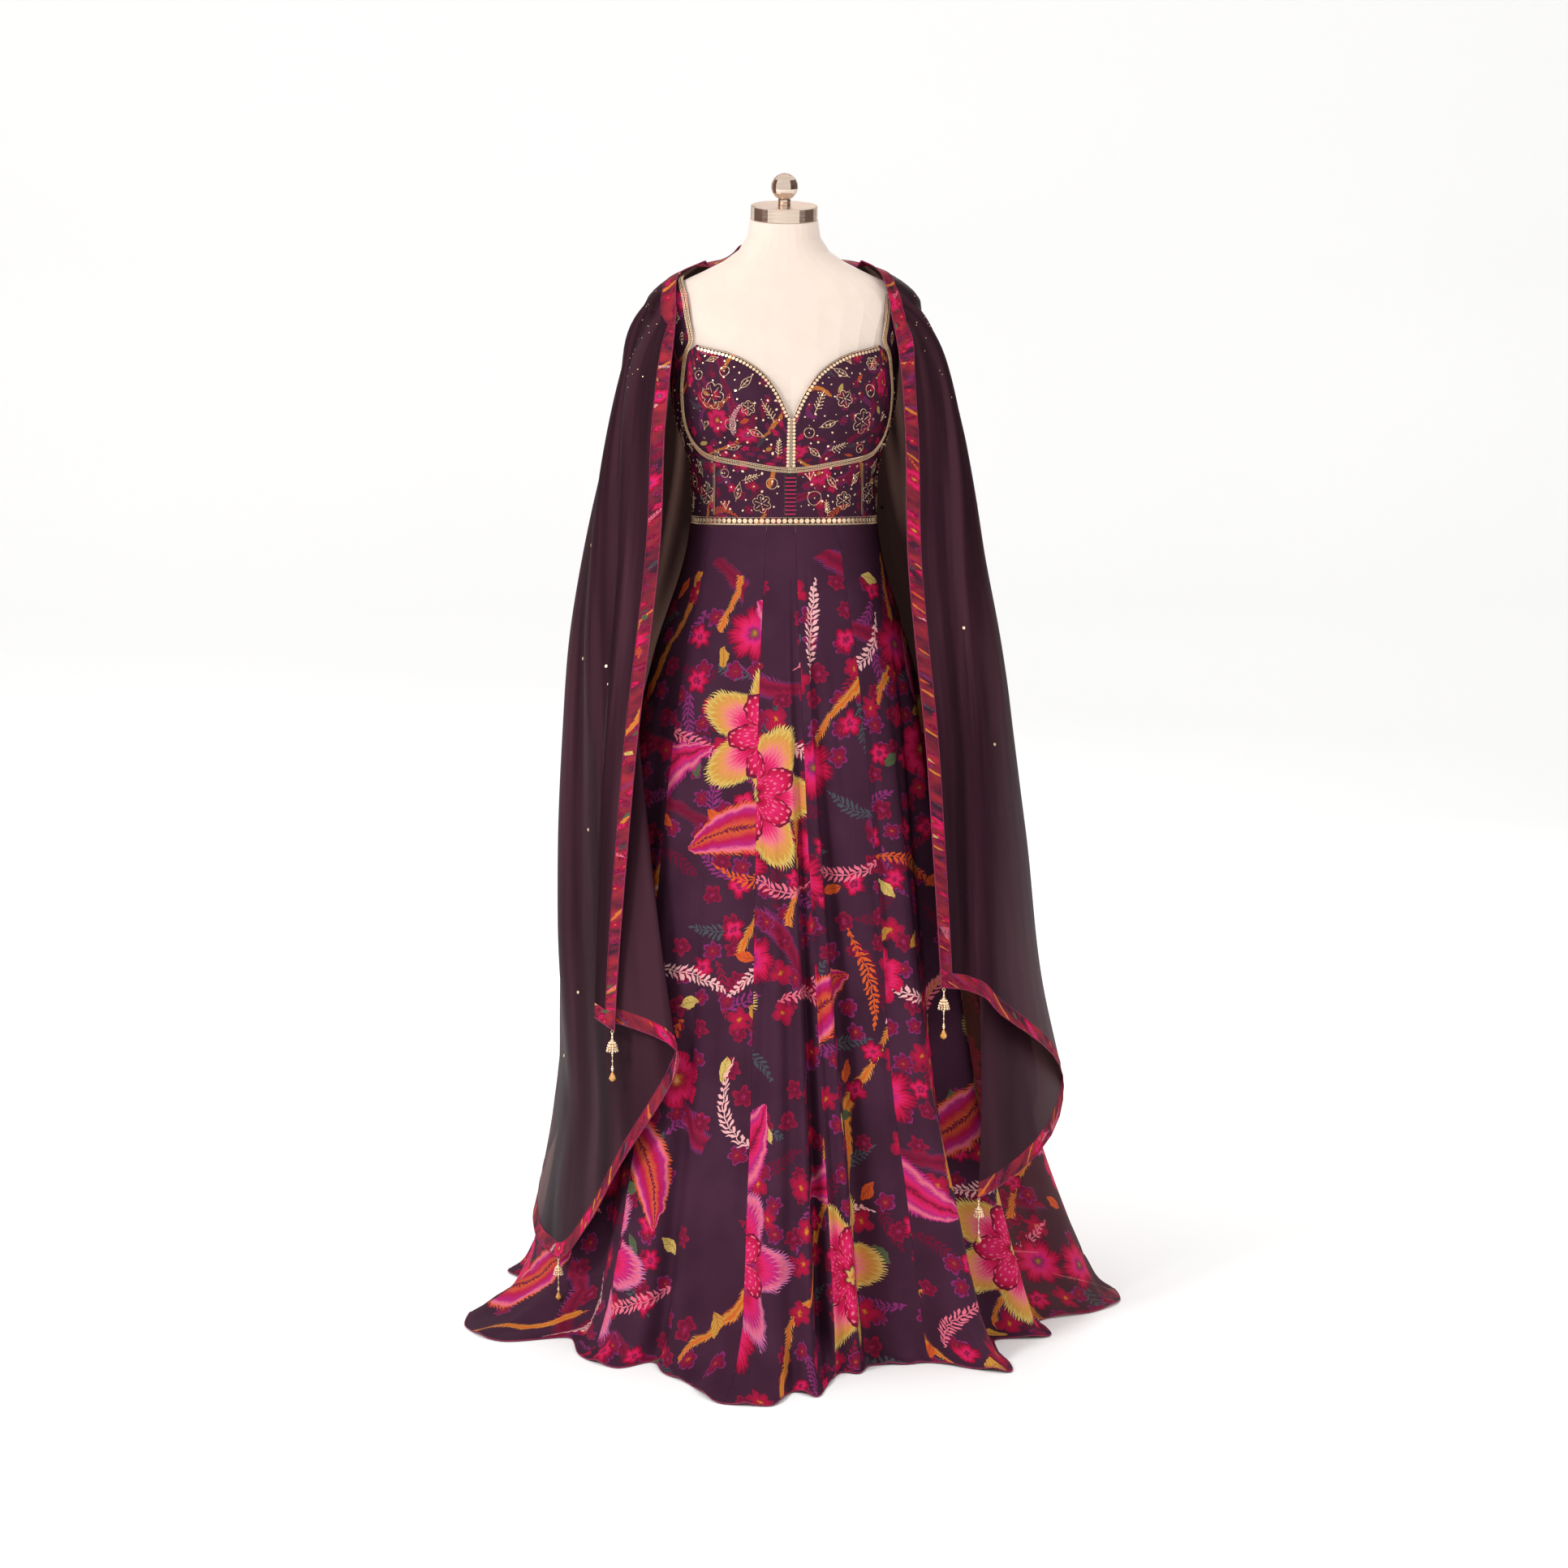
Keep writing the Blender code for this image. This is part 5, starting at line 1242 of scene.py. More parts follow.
def lay_motifs(stamps, motifs):
    """Draws motifs on the worn cloth. Each is a kind, a guessed place, a size, a turn and a side."""
    places, outs = onto_form(np.array([motif[1] for motif in motifs]), np.full(1, EASE + CLOTH))
    strokes, dots, ups, halves = [], [], [], []
    for (kind, _, size, angle, hand), place, out in zip(motifs, places, outs):
        up = unit(np.array([0.0, 0.0, 1.0]) - out * out[2])
        side = np.cross(up, out) * hand
        c, s = math.cos(math.radians(angle)), math.sin(math.radians(angle))
        turned = np.array([c * side + s * up, c * up - s * side])
        lines, beads = MOTIFS[kind](size * MOTIF_SCALE[kind])
        for line in lines:
            far = np.concatenate([[0.0], np.cumsum(np.linalg.norm(np.diff(line, axis=0), axis=-1))])
            at = np.linspace(0, far[-1], max(2, int(far[-1] / 0.0022) + 1))
            dense = np.stack([np.interp(at, far, line[:, axis]) for axis in range(2)], axis=-1)
            strokes.append(place + dense @ turned)
        dots.append(place + np.array([bead[:2] for bead in beads]) @ turned)
        ups.append(np.broadcast_to(up, dots[-1].shape))
        halves.append([bead[2] for bead in beads])
    seated, _ = onto_form(np.concatenate(strokes), np.full(1, EASE + CLOTH + 0.0003))
    for path in np.split(seated, np.cumsum([len(stroke) for stroke in strokes])[:-1]):
        stamps.tube(path, 0.00052, sides=4)
    seated, outs = onto_form(np.concatenate(dots), np.full(1, EASE + CLOTH + 0.0002))
    stamps.beads(PEARL, seated, outs, np.concatenate(ups), np.concatenate(halves))


def near_path(points, path, least):
    """Whether each point comes within least of a path, seen from the front."""
    gaps = np.linalg.norm(points[:, None, ::2] - path[None, :, ::2], axis=-1)
    return gaps.min(axis=1) < least


def make_embroidery(surface):
    stamps = Stamps()
    motifs = [(kind, front_guess(np.array(x), np.array(z)), size, angle, 1) for kind, x, z, size, angle in FRONT_MOTIFS]
    for side in (-1, 1):
        for kind, turn, z, size, angle in ROUND_MOTIFS:
            motifs.append((kind, polar(np.array(turn * side), np.array(0.12), z), size, angle, side))
        for x, y, z, size in STRAP_MOTIFS:
            kind = "leaf" if size > 0.0078 else "bloom"
            motifs.append((kind, np.array([x * side, y, z]), size, 90 * side, side))
    lay_motifs(stamps, motifs)
    for side in (-1, 1):
        seam = front_guess(np.full(9, PRINCESS_X - 0.001), np.linspace(WAIST_Z + 0.015, 1.240, 9))
        path, _ = seated_path(seam, 0.002, 0.0003)
        stamps.tube(mirror(path, side), 0.0006, sides=4)
        path, _ = seated_path(seam, 0.002, 0.0003, 0.0022)
        stamps.tube(mirror(path, side), 0.0004, sides=4)
    stamps.piece("zari_embroidery", surface, "gold_beads")

    # Small loose beads between the motifs.
    draw = np.random.default_rng(7)
    stamps = Stamps()
    turns, heights = draw.uniform(-180, 180, 1500), draw.uniform(WAIST_Z + 0.018, 1.395, 1500)
    guess = polar(turns, np.full(1500, 0.125), heights)
    places, outs = onto_form(guess, np.full(1, EASE + CLOTH + 0.0002))
    x, z = np.abs(places[:, 0]), places[:, 2]
    top = np.interp(x, CUP_EDGES["top_x"], CUP_EDGES["top_z"]) - 0.010
    front = places[:, 1] < 0
    back_top = np.interp(x, (0.0, 0.045, 0.090, 0.120), (1.345, 1.372, 1.405, 1.438)) - 0.008
    arm = np.interp(z, (1.15, 1.297, 1.348, 1.392), (2.0, 2.0, 0.158, 0.150))
    keep = np.where(front, z < top, z < back_top) & (x < arm) & ((x > 0.014) | ~front) & (x > 0.004)
    flat = np.stack([x, places[:, 1], z], axis=-1)
    keep &= ~(front & near_path(flat, cup_low(np.arange(0, 8.1, 0.1)), 0.0065))
    keep &= ~(front & near_path(flat, princess_line(4), 0.005))
    chosen = []
    for k in np.flatnonzero(keep):
        if all(np.linalg.norm(places[k] - places[j]) > 0.0095 for j in chosen):
            chosen.append(k)
    places, outs = places[chosen], outs[chosen]
    halves = draw.uniform(0.0008, 0.0019, len(chosen))
    ways = np.cross(outs, draw.normal(size=(len(chosen), 3)))
    stamps.beads(SEQUIN, places, outs, ways, halves, halves * draw.uniform(0.7, 1.5, len(chosen)))
    stamps.piece("scattered_beads", surface, "gold_beads")


# The dupatta's own finer folds: place along its fold rows at the top and at the end, the share of
# the way down where each starts and stops, how far it stands out, and its width in columns.
DRAPE_CREASES = table(
    "top   end   start stop  depth   width",
    (1.5, 1.2, 0.05, 0.95, 0.0063, 3.1),
    (2.6, 2.3, 0.20, 0.80, -0.0037, 2.5),
    (3.4, 3.9, 0.02, 0.60, 0.0063, 3.4),
    (4.5, 4.2, 0.35, 1.00, -0.0045, 3.1),
    (5.6, 5.1, 0.10, 0.85, 0.0074, 3.7),
    (6.4, 6.9, 0.00, 0.50, -0.0037, 2.7),
    (7.6, 7.3, 0.40, 1.00, 0.0063, 3.4),
    (8.7, 9.1, 0.10, 0.70, -0.0045, 3.7),
    (9.9, 9.5, 0.30, 0.95, 0.0063, 3.1),
    (11.2, 11.6, 0.05, 0.60, 0.0053, 3.4),
    (12.4, 12.2, 0.25, 1.00, -0.0045, 3.1),
    (13.6, 13.9, 0.00, 0.75, 0.0063, 4.1),
    (14.8, 14.4, 0.40, 0.95, -0.0037, 3.1),
    (16.1, 16.5, 0.10, 0.65, 0.0063, 3.4),
    (17.3, 17.0, 0.30, 1.00, -0.0045, 3.7),
    (18.6, 18.9, 0.05, 0.80, 0.0063, 3.1),
    (19.5, 19.2, 0.35, 0.95, -0.0045, 3.4),
    (20.3, 20.8, 0.00, 0.55, 0.0053, 2.7),
    (21.4, 21.2, 0.20, 0.90, -0.0045, 3.1),
    (22.3, 22.6, 0.10, 0.70, 0.0063, 2.7),
    (23.4, 23.1, 0.30, 0.95, -0.0037, 2.7),
    (24.2, 24.4, 0.05, 0.85, 0.0063, 2.9),
)


def creased(grid):
    rows, columns = grid.shape[:2]
    share = np.linspace(0, 1, rows)[:, None]
    place = np.arange(columns)[None] / DRAPE_FINE
    move = np.zeros((rows, columns))
    for top, end, start, stop, depth, width in zip(*DRAPE_CREASES.values()):
        line = top + (end - top) * share
        fades = unit_step(start, start + 0.16, share) * unit_step(stop, stop - 0.16, share)
        move += depth * fades * np.exp(-(((place - line) * DRAPE_FINE / width) ** 2))
    edge = np.minimum(np.arange(columns), columns - 1 - np.arange(columns))
    move *= np.clip((edge - 3) / 6, 0, 1)[None] * unit_step(0.04, 0.14, share) * unit_step(1.0, 0.94, share)
    return grid + unit(grid_normals(grid)) * move[..., None]


def between(grid, rows, columns):
    """Values of a grid between its points."""
    r, c = rows.astype(int), columns.astype(int)
    v, u = (rows - r)[:, None], (columns - c)[:, None]
    upper = grid[r, c] * (1 - u) + grid[r, c + 1] * u
    lower = grid[r + 1, c] * (1 - u) + grid[r + 1, c + 1] * u
    return upper * (1 - v) + lower * v


def make_dupatta_details(grid, stitch, gold):
    """Stitching and rolled edges of the border, and the sequins strewn over the chiffon."""
    count, last = grid.shape[0] - 1, grid.shape[1] - 1
    out = unit(grid_normals(grid))
    stamps = Stamps()
    for line, radius in (
        (grid[:, 0], 0.0009),
        (grid[:, last], 0.0009),
        (grid[0], 0.0009),
        (grid[count], 0.0009),
        (grid[2 : count - 1, 3] + out[2 : count - 1, 3] * 0.0004, 0.0005),
        (grid[2 : count - 1, last - 3] + out[2 : count - 1, last - 3] * 0.0004, 0.0005),
        (grid[2, 3 : last - 2] + out[2, 3 : last - 2] * 0.0004, 0.0005),
        (grid[count - 2, 3 : last - 2] + out[count - 2, 3 : last - 2] * 0.0004, 0.0005),
    ):
        stamps.tube(line, radius, sides=4)
    stamps.piece("border_stitching", stitch, "border_cloth")

    draw = np.random.default_rng(11)
    stamps = Stamps()
    spots = [(row, col) for row, col in zip(draw.uniform(24, count - 3, 22), draw.uniform(6, last - 6, 22))]
    spots += [(row, col) for row, col in zip(draw.uniform(3, 20, 170), draw.uniform(6, last - 6, 170))]
    spots += [(46, 22), (58, 30), (31, last - 22), (52, last - 34), (60, last - 18), (40, 14), (70, 36), (48, last - 12)]
    rows, columns = np.array(spots).T
    size = np.where(rows < 22, 0.0009, 0.0025)
    outs = between(out, rows, columns)
    places = between(grid, rows, columns)
    stamps.beads(SEQUIN, places + outs * 0.0004, outs, between(grid, rows - 0.9, columns) - places, size)
    stamps.piece("dupatta_sequins", gold, "gold_beads")


def make_hem(skirt, surface):
    stamps = Stamps()
    hem = skirt[-1].copy()
    hem[:, 2] = np.maximum(hem[:, 2], 0.0012)
    stamps.tube(hem, 0.0009, sides=4, closed=True)
    stamps.piece("rolled_hem", surface, "gown_cloth")


class Nodes:
    """Short names for the nodes of one material."""

    def __init__(self, name):
        self.material = bpy.data.materials.new(name)
        self.material.use_nodes = True
        self.tree = self.material.node_tree
        self.shader = self.tree.nodes["Principled BSDF"]

    def put(self, socket, value):
        if isinstance(value, bpy.types.NodeSocket):
            self.tree.links.new(value, socket)
        elif value is not None:
            socket.default_value = value

    def make(self, kind, inputs=(), **settings):
        node = self.tree.nodes.new(kind)
        for key, value in settings.items():
            setattr(node, key, value)
        for key, value in dict(inputs).items():
            self.put(node.inputs[key], value)
        return node

    def math(self, operation, a, b=None, c=None, clamp=False):
        node = self.make("ShaderNodeMath", operation=operation, use_clamp=clamp)
        for socket, value in zip(node.inputs, (a, b, c)):
            self.put(socket, value)
        return node.outputs[0]

    def vector(self, operation, a, b=None, scale=None):
        node = self.make("ShaderNodeVectorMath", operation=operation)
        self.put(node.inputs[0], a)
        self.put(node.inputs[1], b)
        if scale is not None:
            self.put(node.inputs["Scale"], scale)
        return node.outputs["Value" if operation in ("LENGTH", "DOT_PRODUCT", "DISTANCE") else "Vector"]

    def mix(self, share, one, two, blend="MIX"):
        node = self.make("ShaderNodeMix", data_type="RGBA", blend_type=blend)
        self.put(node.inputs[0], share)
        self.put(node.inputs[6], one if isinstance(one, bpy.types.NodeSocket) else (*one, 1.0))
        self.put(node.inputs[7], two if isinstance(two, bpy.types.NodeSocket) else (*two, 1.0))
        return node.outputs[2]

    def noise(self, vector, scale, detail=2.0, rough=0.5):
        node = self.make("ShaderNodeTexNoise", {"Vector": vector, "Scale": scale, "Detail": detail, "Roughness": rough})
        return node.outputs["Fac"]

    def ramp(self, value, *stops, mode="LINEAR"):
        node = self.make("ShaderNodeValToRGB", {"Fac": value})
        node.color_ramp.interpolation = mode
        elements = node.color_ramp.elements
        while len(elements) < len(stops):
            elements.new(0.5)
        for element, (place, colour) in zip(elements, stops):
            element.position = place
            element.color = (*colour, 1.0)
        return node.outputs["Color"]

    def range(self, value, low, high, start=0.0, end=1.0):
        node = self.make("ShaderNodeMapRange", {"Value": value, "From Min": low, "From Max": high, "To Min": start, "To Max": end})
        return node.outputs[0]

    def cloth(self):
        return self.make("ShaderNodeUVMap", uv_map="cloth").outputs[0]

    def place(self):
        return self.make("ShaderNodeTexCoord").outputs["Object"]

    def bump(self, height, strength, distance):
        node = self.make("ShaderNodeBump", {"Height": height, "Strength": strength, "Distance": distance})
        self.put(self.shader.inputs["Normal"], node.outputs[0])

    def see_through(self, share):
        """Lets what is behind show, a little browned, by what is left of the share."""
        clear = self.make("ShaderNodeBsdfTransparent", {"Color": (1.0, 0.54, 0.44, 1.0)})
        both = self.make("ShaderNodeMixShader", {0: share, 1: clear.outputs[0], 2: self.shader.outputs[0]})
        self.tree.links.new(both.outputs[0], self.tree.nodes["Material Output"].inputs["Surface"])

    def done(self, colour, roughness, **plain):
        self.put(self.shader.inputs["Base Color"], colour)
        self.put(self.shader.inputs["Roughness"], roughness)
        for key, value in plain.items():
            self.shader.inputs[key.replace("_", " ")].default_value = value
        return self.material


def weave_height(n, flat, pitch):
    """Threads crossing at a right angle, from the cloth's flat places."""
    scaled = n.vector("SCALE", flat, scale=2 * math.pi / pitch)
    parts = n.make("ShaderNodeSeparateXYZ", {0: scaled})
    return n.math("MULTIPLY", n.math("SINE", parts.outputs[0]), n.math("SINE", parts.outputs[1]))


SHEER_PANEL = "skirt_side_right"
PRINT_START = 0.37
# Colours of the print.
AUBERGINE = (0.040, 0.013, 0.027)
LIT_AUBERGINE = (0.052, 0.017, 0.036)
DARK = (0.018, 0.006, 0.012)
CRIMSON = (0.410, 0.007, 0.044)
DEEP_RED = (0.230, 0.009, 0.036)
WINE = (0.125, 0.007, 0.028)
HOT_PINK = (0.600, 0.017, 0.112)
MAGENTA = (0.380, 0.016, 0.150)
ROSE = (0.660, 0.135, 0.200)
BLUSH = (0.720, 0.370, 0.370)
ORANGE = (0.560, 0.085, 0.018)
MUSTARD = (0.500, 0.240, 0.040)
APRICOT = (0.620, 0.230, 0.090)
CREAM = (0.560, 0.400, 0.110)
VIOLET = (0.210, 0.024, 0.130)
MAUVE = (0.420, 0.110, 0.280)
SLATE = (0.055, 0.065, 0.075)
GREEN = (0.060, 0.105, 0.048)


def scattered(n, flat, spacing, jitter, shift, least):
    """For scattered motifs: the place on the nearest one, random numbers of it, and 1 if it is there.

    Motifs gather in some parts of the cloth, and none has its middle in the bare top of it.
    """
    moved = n.vector("ADD", flat, (*shift, 0.0))
    cell = n.make(
        "ShaderNodeTexVoronoi",
        {"Vector": moved, "Scale": 1 / spacing, "Randomness": jitter},
        voronoi_dimensions="2D",
    )
    middle = cell.outputs["Position"]
    rand = n.make("ShaderNodeSeparateColor", {0: cell.outputs["Color"]}).outputs
    crowd = n.noise(n.vector("SUBTRACT", middle, (*shift, 0.0)), 4.6, 0.0)
    down = n.math("SUBTRACT", n.make("ShaderNodeSeparateXYZ", {0: middle}).outputs[1], shift[1])
    sparse = n.range(down, 0.45, 1.15, least + n.thin, least + n.thin + 0.14)
    there = n.math("GREATER_THAN", n.math("MULTIPLY_ADD", crowd, 1.5, n.math("SUBTRACT", rand[1], 0.75)), sparse)
    there = n.math("MULTIPLY", there, n.math("GREATER_THAN", down, n.bare))
    return n.vector("SUBTRACT", moved, middle), rand, there


def turned_place(n, local, share):
    """The place on a motif that is turned by a share of a round, as two numbers."""
    spun = n.make("ShaderNodeVectorRotate", {"Vector": local, "Angle": n.math("MULTIPLY", share, 6.283)}, rotation_type="Z_AXIS")
    return n.make("ShaderNodeSeparateXYZ", {0: spun.outputs[0]}).outputs


def petal_share(n, local, spin, petals, radius, waist=0.55, sharp=0.6, fringe=0.0, teeth=3.0):
    """How far out a place lies in a flower: 0 in its middle and 1 on the edge of its petals. Also its angle."""
    parts = n.make("ShaderNodeSeparateXYZ", {0: local}).outputs
    angle = n.math("MULTIPLY_ADD", spin, 6.283, n.math("ARCTAN2", parts[1], parts[0]))
    lobe = n.math("ABSOLUTE", n.math("COSINE", n.math("MULTIPLY", angle, n.math("MULTIPLY", petals, 0.5))))
    edge = n.math("MULTIPLY_ADD", n.math("POWER", lobe, sharp), (1 - waist) * radius, waist * radius)
    if fringe:
        comb = n.math("PINGPONG", n.math("MULTIPLY", angle, n.math("MULTIPLY", petals, teeth)), 1.0)
        edge = n.math("MULTIPLY_ADD", comb, fringe * radius, edge)
    return n.math("DIVIDE", n.vector("LENGTH", local), edge), angle


def under(n, value, limit, soft):
    """1 where the value is under the limit, 0 over it."""
    return n.range(value, limit, limit + soft, 1.0, 0.0)


def paint(n, colour, layer, mask, there):
    """A layer of motifs over the colour, where they are there."""
    return n.mix(n.math("MULTIPLY", mask, there), colour, layer)


def feather_bands(n, flat, colour, angle, pitch, shift, tones, busy, wide=1.0):
    """Wavy vines with a comb of small feathery leaves on both sides."""
    spun = n.make("ShaderNodeVectorRotate", {"Vector": n.vector("ADD", flat, (*shift, 0.0)), "Angle": angle}, rotation_type="Z_AXIS")
    x, y, _ = n.make("ShaderNodeSeparateXYZ", {0: spun.outputs[0]}).outputs
    sway = n.math("MULTIPLY_ADD", n.math("SINE", n.math("MULTIPLY", x, 17.0)), 0.020, y)
    sway = n.math("MULTIPLY_ADD", n.math("SINE", n.math("MULTIPLY", x, 49.0)), 0.005, sway)
    across = n.math("ABSOLUTE", n.math("MULTIPLY", n.math("SUBTRACT", n.math("FRACT", n.math("DIVIDE", sway, pitch)), 0.5), pitch))
    comb = n.math("PINGPONG", n.math("MULTIPLY_ADD", across, 1.5, x), 0.0026)
    body = n.math("MULTIPLY_ADD", n.math("SINE", n.math("MULTIPLY", x, 33.0)), 0.0026 * wide, 0.0036 * wide)
    width = n.math("MULTIPLY_ADD", comb, 2.6 * wide, body)
    low = n.math("MULTIPLY_ADD", n.math("SINE", n.math("MULTIPLY", x, 40.0)), 0.02, n.make("ShaderNodeSeparateXYZ", {0: flat}).outputs[1])
    shown = n.math("MULTIPLY", n.math("GREATER_THAN", busy, 0.45), n.math("GREATER_THAN", low, 0.7 * n.bare))
    mask = n.math("MULTIPLY", under(n, n.math("SUBTRACT", across, width), 0.0, 0.0005), shown)
    layer = n.ramp(n.math("MULTIPLY", across, 100.0 / wide), *tones)
    return n.mix(mask, colour, layer)


def sprigs(n, flat, colour, spacing, shift, half, leaf, tones, least):
    """Curved stems with slanting leaves in pairs."""
    local, rand, there = scattered(n, flat, spacing, 0.75, shift, least)
    x, y, _ = turned_place(n, local, rand[0])
    bend = n.math("MULTIPLY_ADD", rand[1], 16.0, -8.0)
    y = n.math("ABSOLUTE", n.math("SUBTRACT", y, n.math("MULTIPLY", bend, n.math("MULTIPLY", x, x))))
    reach = n.math("MAXIMUM", n.math("SUBTRACT", 1.0, n.math("POWER", n.math("DIVIDE", n.math("ABSOLUTE", x), half), 2.0)), 0.0)
    share = n.math("DIVIDE", y, n.math("MULTIPLY_ADD", reach, leaf, 0.0001))
    step = n.math("FRACT", n.math("DIVIDE", n.math("MULTIPLY_ADD", y, -0.85, x), leaf * 0.72))
    thick = n.math("MULTIPLY", n.math("SINE", n.math("MULTIPLY", n.math("MINIMUM", share, 1.0), math.pi)), 0.34)
    leaves = under(n, n.math("SUBTRACT", n.math("ABSOLUTE", n.math("SUBTRACT", step, 0.5)), thick), -0.05, 0.05)
    mask = n.math("MULTIPLY", n.math("MAXIMUM", leaves, under(n, y, 0.0006, 0.0004)), n.math("GREATER_THAN", reach, 0.02))
    return paint(n, colour, n.ramp(rand[2], *tones, mode="CONSTANT"), mask, there)


def leaves_of(n, flat, colour, spacing, shift, half, wide, tones, least):
    """Single leaves with a midrib and side veins."""
    local, rand, there = scattered(n, flat, spacing, 0.7, shift, least)
    x, y, _ = turned_place(n, local, rand[0])
    y = n.math("ABSOLUTE", y)
    bow = n.math("COSINE", n.math("MULTIPLY", n.math("MINIMUM", n.math("ABSOLUTE", n.math("DIVIDE", x, half)), 1.0), math.pi / 2))
    inside = under(n, n.math("SUBTRACT", y, n.math("MULTIPLY", bow, wide)), -0.0005, 0.0005)
    vein = n.math("PINGPONG", n.math("MULTIPLY_ADD", y, -1.2, x), 0.0024)
    dark = n.math("MAXIMUM", under(n, vein, 0.0003, 0.0004), under(n, y, 0.0004, 0.0004))
    tone = n.ramp(rand[2], *tones, mode="CONSTANT")
    return paint(n, colour, n.mix(n.math("MULTIPLY", dark, 0.55), tone, WINE), inside, there)


def plumes(n, flat, colour, spacing, shift, half, wide, least):
    """Long bent leaves with feathery edges and a streaked web."""
    local, rand, there = scattered(n, flat, spacing, 0.5, shift, least)
    x, y, _ = turned_place(n, local, rand[0])
    bend = n.math("MULTIPLY_ADD", rand[2], 9.0, -4.5)
    y = n.math("ABSOLUTE", n.math("SUBTRACT", y, n.math("MULTIPLY", bend, n.math("MULTIPLY", x, x))))
    end = n.math("MINIMUM", n.math("ABSOLUTE", n.math("DIVIDE", x, half)), 1.0)
    bow = n.math("POWER", n.math("COSINE", n.math("MULTIPLY", end, math.pi / 2)), 0.7)
    comb = n.math("PINGPONG", n.math("MULTIPLY_ADD", y, -1.1, x), 0.0030)
    edge = n.math("MULTIPLY_ADD", bow, wide, n.math("MULTIPLY", comb, n.math("MULTIPLY", bow, 2.4)))
    share = n.math("DIVIDE", y, n.math("MAXIMUM", edge, 0.0001))
    reading = n.math("MULTIPLY_ADD", comb, 50.0, n.math("SUBTRACT", share, 0.07))
    pink = n.ramp(reading, (0.04, WINE), (0.10, CRIMSON), (0.34, HOT_PINK), (0.52, MAGENTA), (0.74, ROSE), (0.93, MAGENTA))
    warm = n.ramp(reading, (0.04, WINE), (0.12, ORANGE), (0.40, CRIMSON), (0.66, MAGENTA), (0.82, ROSE), (0.95, ORANGE))
    streak = n.math("MULTIPLY", n.math("LESS_THAN", comb, 0.0005), n.math("LESS_THAN", share, 0.72))
    layer = n.mix(n.math("MULTIPLY", streak, 0.5), n.mix(n.math("GREATER_THAN", rand[2], 0.55), pink, warm), VIOLET)
    return paint(n, colour, layer, n.math("MULTIPLY", under(n, share, 0.97, 0.03), n.math("LESS_THAN", end, 0.985)), there)


def flowers(n, flat, colour, spacing, shift, petals, radius, tones, other, least, waist=0.55, sharp=0.6, fringe=0.0):
    """Open flowers of petals to petals + 2. Each takes one of two rows of tones, from its middle to its rim."""
    local, rand, there = scattered(n, flat, spacing, 0.62, shift, least)
    many = n.math("FLOOR", n.math("MULTIPLY_ADD", rand[0], 3.0, petals))
    wide = n.math("MULTIPLY", n.vector("LENGTH", local), n.math("MULTIPLY_ADD", rand[1], -0.35, 1.30))
    sized = n.vector("SCALE", n.vector("NORMALIZE", local), scale=wide)
    share, angle = petal_share(n, sized, rand[0], many, radius, waist, sharp, fringe, 3.0)
    ray = n.math("PINGPONG", n.math("MULTIPLY", angle, n.math("MULTIPLY", many, 1.6)), 1.0)
    reading = n.math("ADD", share, n.math("MULTIPLY_ADD", ray, 0.20, -0.10))
    one, two = n.ramp(reading, *tones), n.ramp(reading, *other)
    layer = n.mix(n.math("GREATER_THAN", rand[2], 0.5), one, two)
    return paint(n, colour, layer, under(n, share, 1.0, 0.0006 / radius), there)


def heroes(n, flat, colour, spacing, shift, radius, least):
    """Large layered blooms, the main motif of the print."""
    local, rand, there = scattered(n, flat, spacing, 0.45, shift, least)
    share, angle = petal_share(n, local, rand[0], 6, radius, 0.56, 1.3, 0.10, 9.0)
    stitch = n.math("PINGPONG", n.math("MULTIPLY", angle, 27.0), 1.0)
    reading = n.math("MULTIPLY_ADD", stitch, 0.10, n.math("SUBTRACT", share, 0.05))
    warm = n.ramp(reading, (0.34, CRIMSON), (0.50, HOT_PINK), (0.64, ROSE), (0.74, APRICOT), (0.86, MUSTARD), (0.97, CREAM))
    cool = n.ramp(reading, (0.34, VIOLET), (0.48, CRIMSON), (0.64, HOT_PINK), (0.78, MAGENTA), (0.90, ROSE), (0.98, MAUVE))
    layer = n.mix(n.math("GREATER_THAN", rand[2], 0.62), warm, cool)
    colour = paint(n, colour, layer, under(n, share, 1.0, 0.006), there)
    inner, turn = petal_share(n, local, n.math("ADD", rand[0], 0.5 / 6), 6, radius * 0.64, 0.45, 0.8)
    dots = n.math("MULTIPLY", n.math("PINGPONG", n.math("MULTIPLY", turn, 12.0), 1.0), n.math("PINGPONG", n.math("MULTIPLY", inner, 12.0), 1.0))
    petal = n.ramp(inner, (0.0, ORANGE), (0.14, CREAM), (0.20, WINE), (0.28, CRIMSON), (0.62, HOT_PINK), (0.88, CRIMSON), (0.97, WINE))
    spotted = n.mix(n.math("MULTIPLY", n.math("GREATER_THAN", dots, 0.55), n.math("GREATER_THAN", inner, 0.36)), petal, ROSE)
    return paint(n, colour, spotted, under(n, inner, 1.0, 0.008), there)


